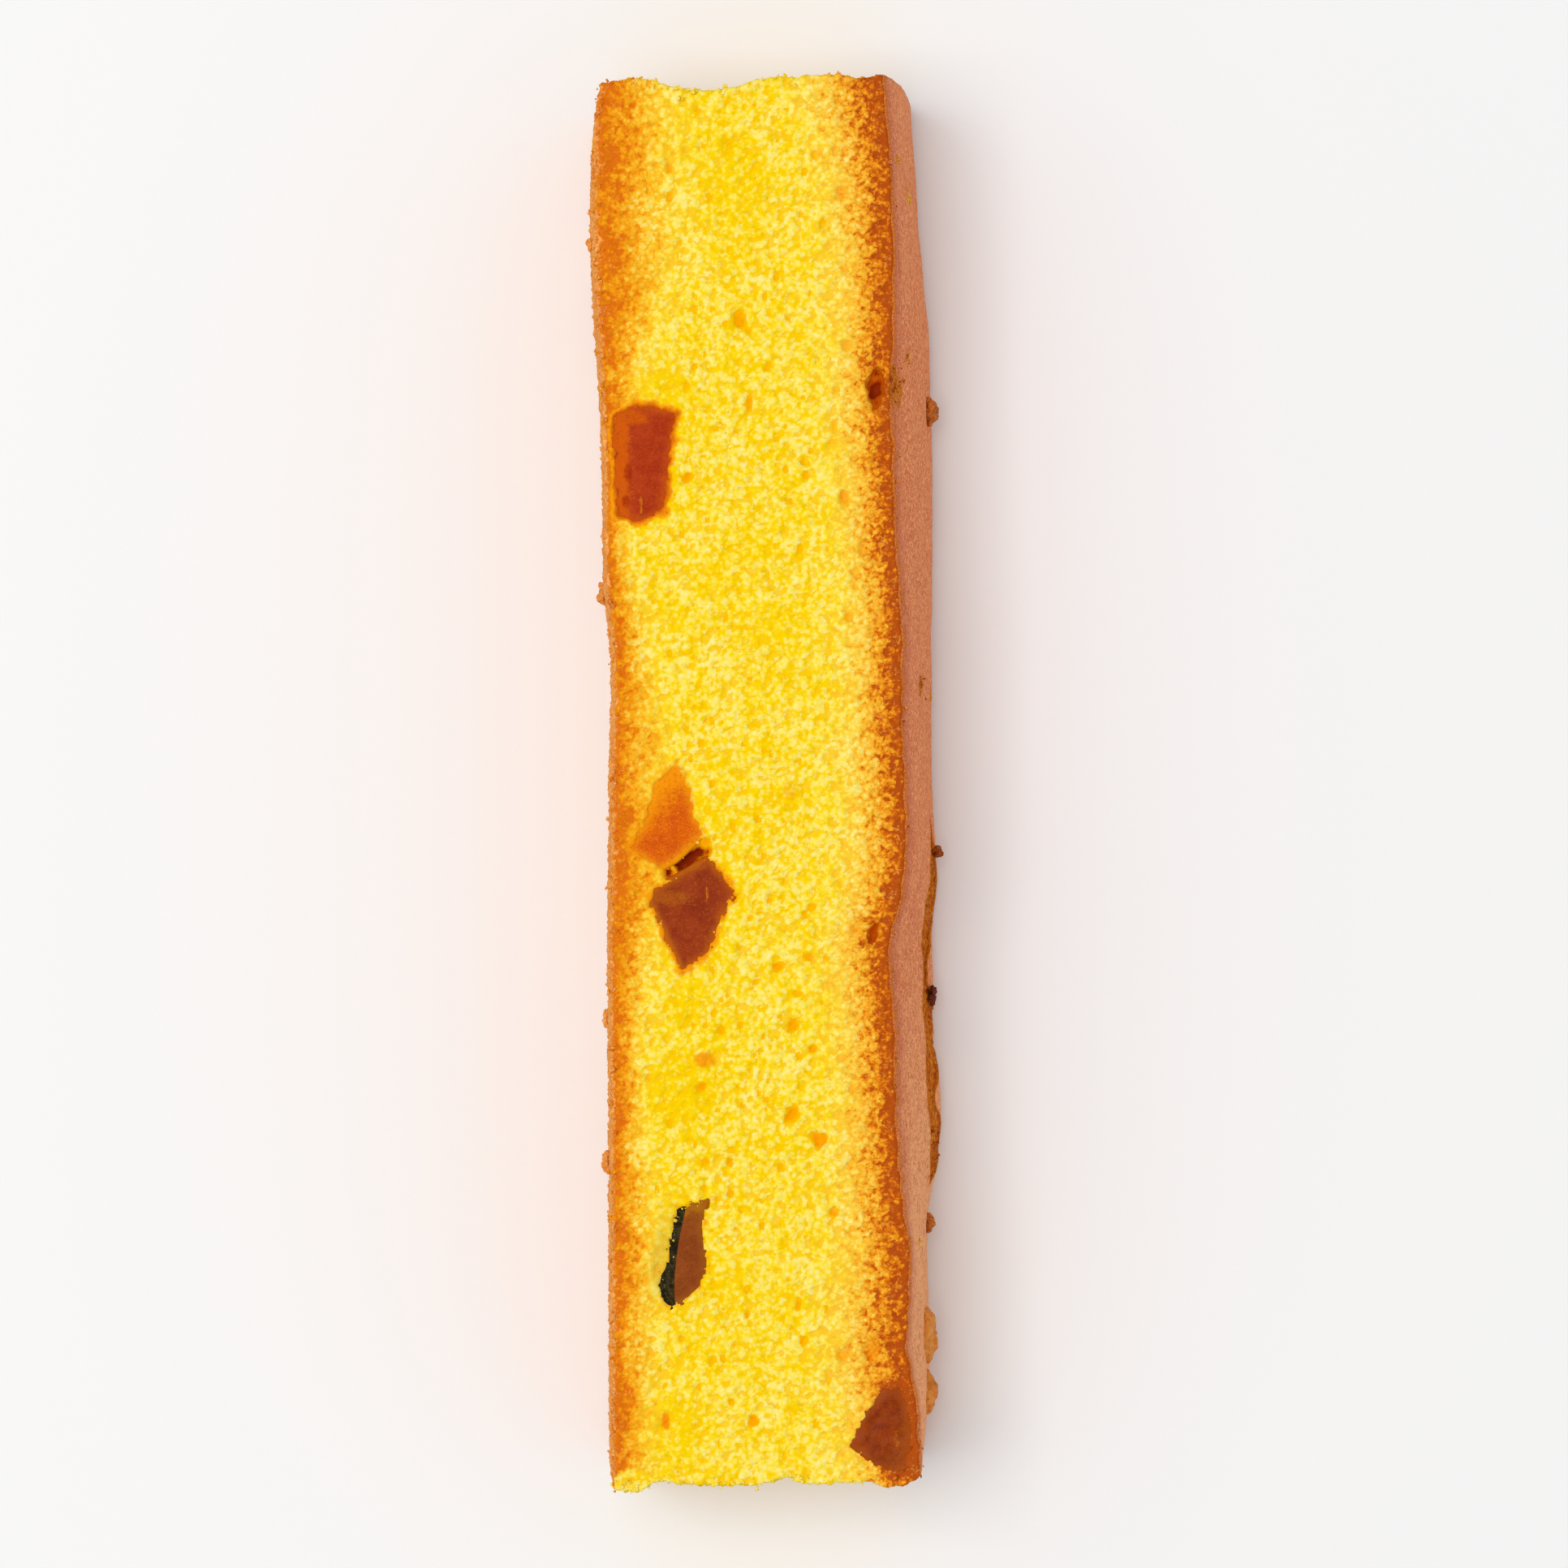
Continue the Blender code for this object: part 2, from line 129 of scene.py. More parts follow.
# ---- candied pumpkin cut through by the upper face
BLOCK = (
    (-14.0, 33.9), (-11.8, 35.0), (-8.1, 34.2), (-9.3, 24.9), (-11.3, 24.0), (-13.6, 24.4),
    (-14.1, 31.1),
)
WEDGE = (
    (-8.2, 2.0), (-7.0, -0.2), (-6.4, -2.8), (-5.6, -4.8), (-8.2, -7.2), (-9.6, -8.0),
    (-12.6, -6.2), (-11.0, -3.3), (-10.2, 0.0),
)
DIAMOND = (
    (-5.2, -6.9), (-2.5, -10.1), (-3.8, -12.4), (-5.3, -16.0), (-7.6, -17.7), (-10.9, -10.9),
    (-10.2, -9.9),
)
RIND_PIECE = (
    (-4.9, -38.3), (-5.7, -41.0), (-5.2, -44.7), (-5.8, -46.9), (-8.1, -48.4), (-9.2, -48.7),
    (-9.8, -46.4), (-9.1, -44.0), (-8.2, -39.2),
)
CORNER_PIECE = (
    (7.9, -61.1), (8.9, -59.2), (9.6, -57.7), (10.8, -56.1), (12.5, -55.9), (13.2, -57.5),
    (13.6, -60.2), (13.3, -63.2), (11.9, -63.7), (10.3, -63.0),
)
SET_PIECES = (BLOCK, WEDGE, DIAMOND, RIND_PIECE, CORNER_PIECE)
RIND_LINE = ((-49, -8.2), (-46, -8.3), (-43, -8.0), (-39, -7.2))
RIND_MIDDLE, RIND_REACH = -43.6, 6.5  # the stretch along the stick where the rind greens the crumb
# How strongly each piece has stained the crumb round it.
HALOES = ((BLOCK, 1.5), (WEDGE, 0.55), (DIAMOND, 0.8), (RIND_PIECE, 0.4))

# ---- cavities and large pores in the upper cut face: centre, half sizes across and along,
# depth, and for some a turn in degrees
HOLES = (
    (-7.1, -7.3, 2.9, 1.15, 2.0, 41), (10.2, 36.2, 0.95, 2.2, 1.9, -8),
    (10.1, -14.0, 0.5, 1.2, 1.4, -15), (-8.9, 56.8, 0.35, 0.85, 0.63, 12),
    (-8.8, 53.9, 0.35, 0.7, 0.49, 10), (-6.3, 61.9, 0.5, 0.4, 0.35), (-3.2, 58.7, 0.6, 0.5, 0.28, 20),
    (7.1, 54.6, 0.65, 0.5, 0.56), (1.1, 46.7, 0.4, 0.7, 0.35, -10), (-2.1, 42.6, 0.85, 1.4, 0.56, 20),
    (7.6, 40.4, 0.55, 0.6, 0.56), (-1.4, 34.9, 0.4, 1.2, 0.49), (-7.1, 28.2, 0.75, 0.65, 0.56, 30),
    (8.2, 29.9, 0.4, 0.5, 0.35), (3.8, 28.4, 0.5, 0.6, 0.42), (1.9, 28.9, 0.5, 0.5, 0.35),
    (7.4, 26.2, 0.5, 0.95, 0.56, 15), (9.1, 21.5, 0.65, 0.7, 0.56), (3.2, 21.5, 0.5, 0.65, 0.42),
    (7.8, 15.3, 0.6, 0.55, 0.49), (-5.8, 3.6, 0.45, 0.5, 0.35), (4.4, -11.5, 0.5, 0.6, 0.42),
    (1.2, -16.9, 0.7, 0.65, 0.49), (4.0, -16.1, 0.55, 0.6, 0.49), (5.8, -16.3, 0.4, 0.5, 0.42),
    (3.0, -19.5, 0.5, 0.5, 0.42), (2.6, -22.5, 0.75, 0.8, 0.56), (-4.0, -22.9, 0.45, 0.6, 0.49),
    (4.4, -24.6, 0.5, 0.5, 0.56), (-5.8, -28.1, 0.7, 0.55, 0.56, 30), (0.2, -29.2, 0.4, 0.5, 0.35),
    (2.6, -30.6, 0.85, 0.85, 0.63), (5.0, -33.1, 1.0, 1.1, 0.56), (-5.5, -35.0, 0.45, 0.5, 0.42),
    (-3.2, -35.1, 0.45, 0.5, 0.49), (1.5, -35.6, 0.5, 0.5, 0.42), (-3.1, -38.0, 0.4, 0.5, 0.42),
    (6.4, -39.8, 0.55, 0.6, 0.56), (3.1, -48.2, 0.45, 0.7, 0.49), (-1.6, -49.2, 0.5, 0.8, 0.49),
    (3.6, -51.6, 0.6, 0.6, 0.49), (7.2, -53.0, 0.6, 0.6, 0.56), (-3.8, -53.1, 0.4, 0.5, 0.35),
    (-1.0, -58.9, 0.5, 0.85, 0.56, -10), (4.7, -59.2, 0.4, 0.5, 0.35), (9.9, -52.5, 0.8, 1.4, 0.56, 10),
    (-9.1, -59.0, 0.4, 0.8, 0.42),
)
SMALL_PORES = 380
# Wet, saturated patches in the crumb: centre, half sizes across and along, strength.
SYRUPY = (
    (-3.0, 53.5, 4.5, 9.0, 0.75), (-9.5, 36.8, 4.5, 1.8, 0.9), (-7.0, -20.0, 3.2, 2.6, 0.9),
    (-8.0, -28.6, 4.2, 4.6, 1.0), (2.3, -1.2, 1.6, 1.9, 0.9), (-4.0, -3.0, 3.0, 3.0, 0.6),
    (-9.0, -59.5, 4.0, 4.0, 0.9), (-3.0, -47.0, 3.5, 3.0, 0.5), (0.0, 12.0, 4.0, 9.0, 0.45),
)
# A lump of pale crumb at the near corner that the bottom crust hasn't browned, in the same form,
# and the loose crumbs on it: how many, and their spread and middle in three directions.
PALE_LUMP = (-12.3, -65.0, 2.3, 1.9, 5.0)
LUMP_CRUMBS, LUMP_SPREAD = 200, (0.85, 0.28, 0.16)
LUMP_MIDDLE = (-12.2, -64.8, CUT_HEIGHT - 0.25)
# Soft orange stains, where pumpkin lies just under the crumb.
STAINS = (
    (-5.5, -25.6, 1.5, 1.1, 0.6), (2.3, -0.9, 1.0, 1.3, 0.35), (-9.1, -59.0, 0.6, 1.1, 0.8),
    (5.1, -33.0, 1.1, 1.2, 0.35), (-11.3, -5.4, 1.6, 0.8, 0.9), (8.3, -13.6, 1.2, 1.0, 0.35),
    (-11.6, 34.9, 1.7, 0.6, 0.6), (10.0, -52.6, 0.9, 1.6, 0.35),
)

# ---- lumps baked on the crusts: side, place along, height, half sizes out, along and up, how dark
NUGGETS = (
    (1, 35.2, 7.0, 0.65, 1.3, 1.2, 0.45), (1, -41.8, 8.0, 0.4, 0.95, 1.0, 0.45),
    (1, -20.2, 5.5, 0.35, 0.95, 0.9, 0.9), (1, -6.6, 5.0, 0.25, 0.5, 0.5, 0.6),
    (-1, -35.9, 8.0, 0.35, 0.9, 0.9, 0.1), (-1, 17.9, 9.0, 0.4, 1.0, 0.8, 0.2),
    (-1, -22.5, 7.0, 0.3, 0.8, 0.8, 0.1), (-1, 50.5, 15.0, 0.25, 0.5, 0.5, 0.2),
)
# Crumbs that stick to the crusts: side, place along, height, half sizes, how many, and how far
# from the crust they look to come (a low number is browned crumb, a high one yellow).
STRAYS = (
    (1, 57.8, 20.5, 0.5, 1.2, 26, 2.8), (1, 54.9, 15.0, 1.2, 1.8, 70, 3.0),
    (1, 39.6, 19.0, 0.6, 1.3, 24, 2.4), (1, -42.8, 17.0, 0.3, 0.5, 14, 4.0),
    (1, 8.0, 6.0, 0.4, 0.5, 14, 3.0), (-1, 36.2, 21.0, 0.6, 1.0, 40, 3.0),
    (-1, 58.8, 21.0, 0.7, 1.2, 50, 3.0), (-1, -21.0, 22.0, 0.3, 0.5, 14, 3.0),
    (1, 36.9, 23.0, 1.6, 2.2, 70, 0.8), (1, 9.0, 13.5, 1.2, 2.0, 30, 0.9),
)
# Crumbs dragged over the edges of the set pumpkin: how many, and how far from the crust they look.
DRAGGED = ((BLOCK, 24, 1.6), (WEDGE, 20, 3.0), (DIAMOND, 50, 3.0), (RIND_PIECE, 240, 5.0))
RIM_CRUMBS = 600

# ---- crumbs in general
CRUMB_RADIUS, LOOSE_RADIUS = 0.14, 0.11
CRUMB_ZONES = (
    (0, "at_far_end", 1800), (1, "in_middle", 900), (2, "at_near_end", 1800), (3, "on_sides", 9000),
)
CRUMB_CHAIN = 3  # how many lie side by side

# ---- floor, light and camera
FLOOR_SIZE, FLOOR_GREY = 4.0, 0.86  # in metres, and its tone
SKY_STRENGTH = 0.60
# Name, place and size in metres, and power in watts.
SOFTBOXES = (
    ("overhead_softbox", (-0.36, 0.06, 1.45), 0.7, 10.9), ("side_softbox", (-0.62, 0.13, 0.78), 0.5, 0.5),
)
SENSOR_WIDTH, FOCAL_LENGTH = 24.0, 100.0
FRAME_WIDTH = 144.7  # how much the camera takes in, at the height of the upper cut face
FRAME_MIDDLE = (1.8, -0.15)


# -------- shapes as formulas

def along(line, at):
    """How far out a drawn line is, by a smooth curve through its points."""
    line = np.array(line, float)
    at = np.clip(at, line[0, 0], line[-1, 0])
    after = np.clip(np.searchsorted(line[:, 0], at, side="right"), 1, len(line) - 1)
    slopes = np.gradient(line[:, 1], line[:, 0])
    (x1, y1), (x2, y2) = line[after - 1].T, line[after].T
    step = x2 - x1
    t = (at - x1) / step
    return (
        y1 * (2 * t**3 - 3 * t**2 + 1)
        + slopes[after - 1] * step * (t**3 - 2 * t**2 + t)
        + y2 * (3 * t**2 - 2 * t**3)
        + slopes[after] * step * (t**3 - t**2)
    )


def bump(value, middle, half_width):
    """1 at the middle, falling smoothly to 0 at half_width away from it."""
    t = np.clip(np.abs(value - middle) / half_width, 0, 1)
    return (1 - t * t) ** 2


def rise(value, low, high):
    """A smooth step from 0 at low to 1 at high."""
    t = np.clip((value - low) / (high - low), 0, 1)
    return t * t * (3 - 2 * t)


def grain(points, size, seed=0.0, octaves=1):
    """Noise from about -1 to 1 at each point, with lumps of a given size."""
    shift = Vector((seed, seed * 1.7, seed * 2.3))
    points = points / size
    if octaves == 1:
        return np.array([noise.noise(Vector(p) + shift) for p in points])
    return np.array([noise.fractal(Vector(p) + shift, 0.8, 2.0, octaves) for p in points])


def grain_along(y, size, seed, octaves):
    """The same noise read along the stick only."""
    return grain(np.column_stack((y, y * 0, y * 0)), size, seed, octaves)


def oval(x, y, spot):
    """A spot's strength at its centre, falling smoothly to 0 at its half sizes."""
    cx, cy, across, lengthwise, strength = spot
    return strength * rise(1 - np.hypot((x - cx) / across, (y - cy) / lengthwise), 0.0, 0.6)


def tuck(height):
    """How far a side draws in at its foot."""
    return FOOT_TUCK * np.clip(1 - height / FOOT_HEIGHT, 0, 1) ** 2


def waves(y):
    """Small uneven waves along the crust's cut edge."""
    steps = np.arange(-70, 70, 0.35)
    return np.interp(y, steps, grain_along(steps, 1.7, 51.0, 3))


def dents(y, height):
    """How far the dents push the top crust in."""
    pushed = np.zeros(len(y))
    ragged = 0.5 * grain(np.column_stack((y, height, y * 0)), 1.5, 71.0, 3)
    for place, level, lengthwise, up, depth in SKIN_DENTS:
        apart = np.hypot((y - place) / lengthwise, (height - level) / up) + ragged
        pushed = np.maximum(pushed, depth * bump(np.maximum(apart, 0), 0, 1))
    return pushed


def crust_side(y, height):
    """How far out the top crust is at a height above the floor."""
    edge, foot = along(CRUST_EDGE, y), along(CRUST_FOOT, y)
    lip = LIP_RISE * bump(height, LIP_HEIGHT, LIP_WIDTH) * bump(y, CRACK_MIDDLE, CRACK_HALF) ** 0.35
    lean = 1 - np.clip(height / CUT_HEIGHT, 0, 1.1) ** CRUST_DOME
    wave = 0.22 * waves(y) * np.clip(height / CUT_HEIGHT, 0, 1) ** 5
    return edge + (foot - edge) * lean + lip + wave - tuck(height)


def base_side(y, height):
    """How far out the bottom crust is, on the -X side."""
    return along(BASE_FOOT, y) + BASE_OVERHANG * (height / CUT_HEIGHT) ** BASE_DOME + tuck(height)


def end_place(x, v):
    """How far along the stick its torn end is, for points on the +Y or -Y side of the middle."""
    return np.where(v > 0, along(FAR_END, x), along(NEAR_END, x))


def place_along(x, v):
    """How far along the stick a point is, for v from -1 at the near end to 1 at the far end."""
    to_end = end_place(x, v) - np.sign(v) * HALF_LENGTH
    return v * HALF_LENGTH + to_end * np.abs(v) ** END_REACH


def crack_edges(y):
    """The heights of the lower and upper edge of the torn skin; they meet outside the crack."""
    ragged = bump(y, CRACK_MIDDLE, CRACK_HALF)
    low = along(CRACK_BELOW, y) + 1.5 * grain_along(y, 2.2, 3.0, 4) * ragged
    high = along(CRACK_ABOVE, y) + 1.2 * grain_along(y, 2.4, 8.0, 4) * ragged
    return np.minimum(low, high), np.maximum(low, high)


def inside_outline(outline, x, y):
    """How deep each place is inside an outline; below 0 outside it."""
    drawn = np.array(outline, float)
    depth = np.full(len(x), 1e9)
    within = np.zeros(len(x), bool)
    for (ax, ay), (bx, by) in zip(drawn, np.roll(drawn, -1, axis=0)):
        dx, dy = bx - ax, by - ay
        t = np.clip(((x - ax) * dx + (y - ay) * dy) / (dx * dx + dy * dy), 0, 1)
        depth = np.minimum(depth, np.hypot(x - ax - t * dx, y - ay - t * dy))
        if ay != by:
            crosses = (ay > y) != (by > y)
            within ^= crosses & (x < ax + (y - ay) / (by - ay) * dx)
    return np.where(within, depth, -depth)


def hole_depth(points, x, y, across, lengthwise, depth, turn=0):
    """How far an uneven hole pushes the upper cut face in."""
    dug = np.zeros(len(points))
    angle = math.radians(turn)
    dx, dy = points[:, 0] - x, points[:, 1] - y
    u = (dx * math.cos(angle) + dy * math.sin(angle)) / across
    v = (-dx * math.sin(angle) + dy * math.cos(angle)) / lengthwise
    near = np.hypot(u, v)
    close = near < 1.6
    uneven = near[close] + 0.5 * grain(points[close], 0.8, x)
    dug[close] = depth * rise(1 - uneven, -0.05, 0.6)
    return dug


# -------- modelling tools

def read(parts, name, width=1, kind=float):
    """One property of all the vertices, edges, faces or corners of a mesh, in rows of a width."""
    flat = np.empty(len(parts) * width, kind)
    parts.foreach_get(name, flat)
    return flat.reshape(-1, width) if width > 1 else flat


def corners(thing):
    """The vertices of an object's mesh in millimetres."""
    return read(thing.data.vertices, "co", 3) / MM


def move_to(thing, points):
    """Put an object's vertices at points in millimetres."""
    thing.data.vertices.foreach_set("co", (points * MM).ravel())
    thing.data.update()


def directions(thing):
    """Which way the surface faces at each vertex."""
    return read(thing.data.vertex_normals, "vector", 3)


def note(thing, name, values):
    """Keep one number for each vertex, for the finish to read."""
    layer = thing.data.attributes.new(name, "FLOAT", "POINT")
    layer.data.foreach_set("value", np.asarray(values, np.float32))


def noted(thing, name):
    return read(thing.data.attributes[name].data, "value", kind=np.float32)


def started(name):
    """Name the new primitive, which is the only thing selected."""
    thing = bpy.context.object
    thing.name = thing.data.name = name
    return thing


def deselect():
    """Leave nothing selected, so that the next operator acts on the new piece alone."""
    bpy.ops.object.select_all(action="DESELECT")


def alone(thing):
    deselect()
    thing.select_set(True)
    bpy.context.view_layer.objects.active = thing


def edit_chosen(thing, kind, chosen):
    """Open edit mode with only the chosen vertices, edges or faces selected."""
    alone(thing)
    mesh = thing.data
    parts = {"VERT": mesh.vertices, "EDGE": mesh.edges, "FACE": mesh.polygons}
    for part in parts.values():
        part.foreach_set("select", np.zeros(len(part), bool))
    parts[kind].foreach_set("select", chosen)
    bpy.context.tool_settings.mesh_select_mode = [kind == key for key in parts]
    bpy.ops.object.mode_set(mode="EDIT")


def face_outward():
    """Turn every face of the mesh that is being edited outward, and leave edit mode."""
    bpy.ops.mesh.select_all(action="SELECT")
    bpy.ops.mesh.normals_make_consistent(inside=False)
    bpy.ops.object.mode_set(mode="OBJECT")


def face_middles(thing):
    return read(thing.data.polygons, "center", 3) / MM


def divide(thing, axis, parts):
    """Cut every edge that runs along an axis, and the faces between them, into equal parts."""
    ends = read(thing.data.edges, "vertices", 2, np.int32)
    run = np.abs(np.diff(corners(thing)[ends], axis=1))[:, 0]
    edit_chosen(thing, "EDGE", run.argmax(axis=1) == axis)
    bpy.ops.mesh.subdivide(number_cuts=parts - 1)
    bpy.ops.object.mode_set(mode="OBJECT")


def weigh(thing, name, weights):
    """A vertex group with a weight for each vertex, in tenths."""
    group = thing.vertex_groups.new(name=name)
    tenths = np.round(weights * 10).astype(int)
    for tenth in range(1, 11):
        group.add(np.flatnonzero(tenths == tenth).tolist(), tenth / 10, "REPLACE")


def apply_modifier(thing, kind, **settings):
    alone(thing)
    modifier = thing.modifiers.new(kind.lower(), kind)
    for key, value in settings.items():
        setattr(modifier, key, value)
    bpy.ops.object.modifier_apply(modifier=modifier.name)


def roughen(thing, size, height, where="", middle=0.5, **texture_settings):
    """Push the surface in and out by clouds with lumps of a given size."""
    pattern = bpy.data.textures.new("relief", "CLOUDS")
    pattern.noise_scale = size * MM
    for key, value in texture_settings.items():
        setattr(pattern, key, value)
    apply_modifier(thing, "DISPLACE", texture=pattern, texture_coords="LOCAL", mid_level=middle,
                   strength=height * MM, vertex_group=where)
    bpy.data.textures.remove(pattern)


def finished(thing, finish, slot, *nodes):
    """Smooth shading, a finish, and a place on the cake."""
    alone(thing)
    bpy.ops.object.shade_smooth()
    thing.data.materials.append(finish)
    if nodes:
        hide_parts(*nodes)
    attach(thing, "root")
    return thing


# -------- finishes

def colour(code):
    """A linear colour from a hex code as a colour picker shows it."""
    channels = [int(code[i:i + 2], 16) / 255 for i in (0, 2, 4)]
    return (*[c / 12.92 if c <= 0.04045 else ((c + 0.055) / 1.055) ** 2.4 for c in channels], 1.0)


class Finish:
    """A material made of nodes, with a Principled shader at its end."""

    def __init__(self, name):
        self.material = bpy.data.materials.new(name)
        self.material.use_nodes = True
        self.tree = self.material.node_tree
        self.shader = self.tree.nodes["Principled BSDF"]
        self.space = self.add("ShaderNodeTexCoord").outputs["Object"]

    def add(self, kind, *inputs, **settings):
        """A node with some settings, and a value or a link for each input that is named."""
        made = self.tree.nodes.new(kind)
        for key, value in settings.items():
            setattr(made, key, value)
        for name, value in inputs:
            self.feed(made.inputs[name], value)
        return made

    def feed(self, socket, value):
        """Link what another node makes, or set a number or a colour by its code."""
        if isinstance(value, bpy.types.NodeSocket):
            self.tree.links.new(value, socket)
        else:
            socket.default_value = colour(value) if isinstance(value, str) else value

    def maths(self, operation, value, *others):
        """An operation on two or more values, from the left."""
        for other in others:
            value = self.add("ShaderNodeMath", (0, value), (1, other), operation=operation).outputs[0]
        return value

    def total(self, *values):
        return self.maths("ADD", *values)

    def less(self, *values):
        return self.maths("SUBTRACT", *values)

    def times(self, *values):
        return self.maths("MULTIPLY", *values)

    def mix(self, under, over, *amounts):
        """One colour over another, by the amounts multiplied."""
        inputs = ("Factor", self.times(*amounts)), ("A", under), ("B", over)
        return self.add("ShaderNodeMix", *inputs, data_type="RGBA").outputs["Result"]

    def stained(self, under, *stains):
        """Colours over another one, each from none of it at a low value to its share at a high one."""
        for over, value, low, high, *share in stains:
            under = self.mix(under, over, self.between(value, low, high), *share)
        return under

    def ramp(self, factor, stops):
        made = self.add("ShaderNodeValToRGB")
        elements = made.color_ramp.elements
        while len(elements) < len(stops):
            elements.new(0.5)
        for element, (position, code) in zip(elements, stops):
            element.position = position
            element.color = colour(code)
        self.feed(made.inputs["Fac"], factor)
        return made.outputs["Color"]

    def between(self, value, low, high):
        """A smooth step from 0 at low to 1 at high."""
        inputs = ("Value", value), ("From Min", low), ("From Max", high)
        return self.add("ShaderNodeMapRange", *inputs, interpolation_type="SMOOTHSTEP").outputs["Result"]

    def speckle(self, size, detail=2.0, roughness=0.55, stretch=None):
        """Noise from 0 to 1 with lumps of a size in millimetres."""
        where = self.space
        if stretch:
            where = self.add("ShaderNodeMapping", ("Vector", where), ("Scale", stretch)).outputs["Vector"]
        return self.add(
            "ShaderNodeTexNoise", ("Vector", where), ("Scale", 1 / (size * MM)), ("Detail", detail),
            ("Roughness", roughness),
        ).outputs["Fac"]

    def cell(self, size):
        """Grains of a size in millimetres: 0 at the middle of each, rising to its edge."""
        inputs = ("Vector", self.space), ("Scale", 1 / (size * MM))
        return self.add("ShaderNodeTexVoronoi", *inputs).outputs["Distance"]

    def noted(self, name):
        return self.add("ShaderNodeAttribute", attribute_name=name).outputs["Fac"]

    def swing(self, value, reach):
        """Noise from 0 to 1 made to swing either side of 0."""
        return self.times(self.less(value, 0.5), reach)

    def relief(self, height, distance, strength):
        inputs = ("Height", height), ("Distance", distance * MM), ("Strength", strength)
        return self.add("ShaderNodeBump", *inputs).outputs["Normal"]

    def surface(self, body, rough, gloss=0.5, **others):
        """The material, with its colour, roughness and gloss."""
        values = {"Base_Color": body, "Roughness": rough, "Specular_IOR_Level": gloss, **others}
        for name, value in values.items():
            self.feed(self.shader.inputs[name.replace("_", " ")], value)
        return self.material


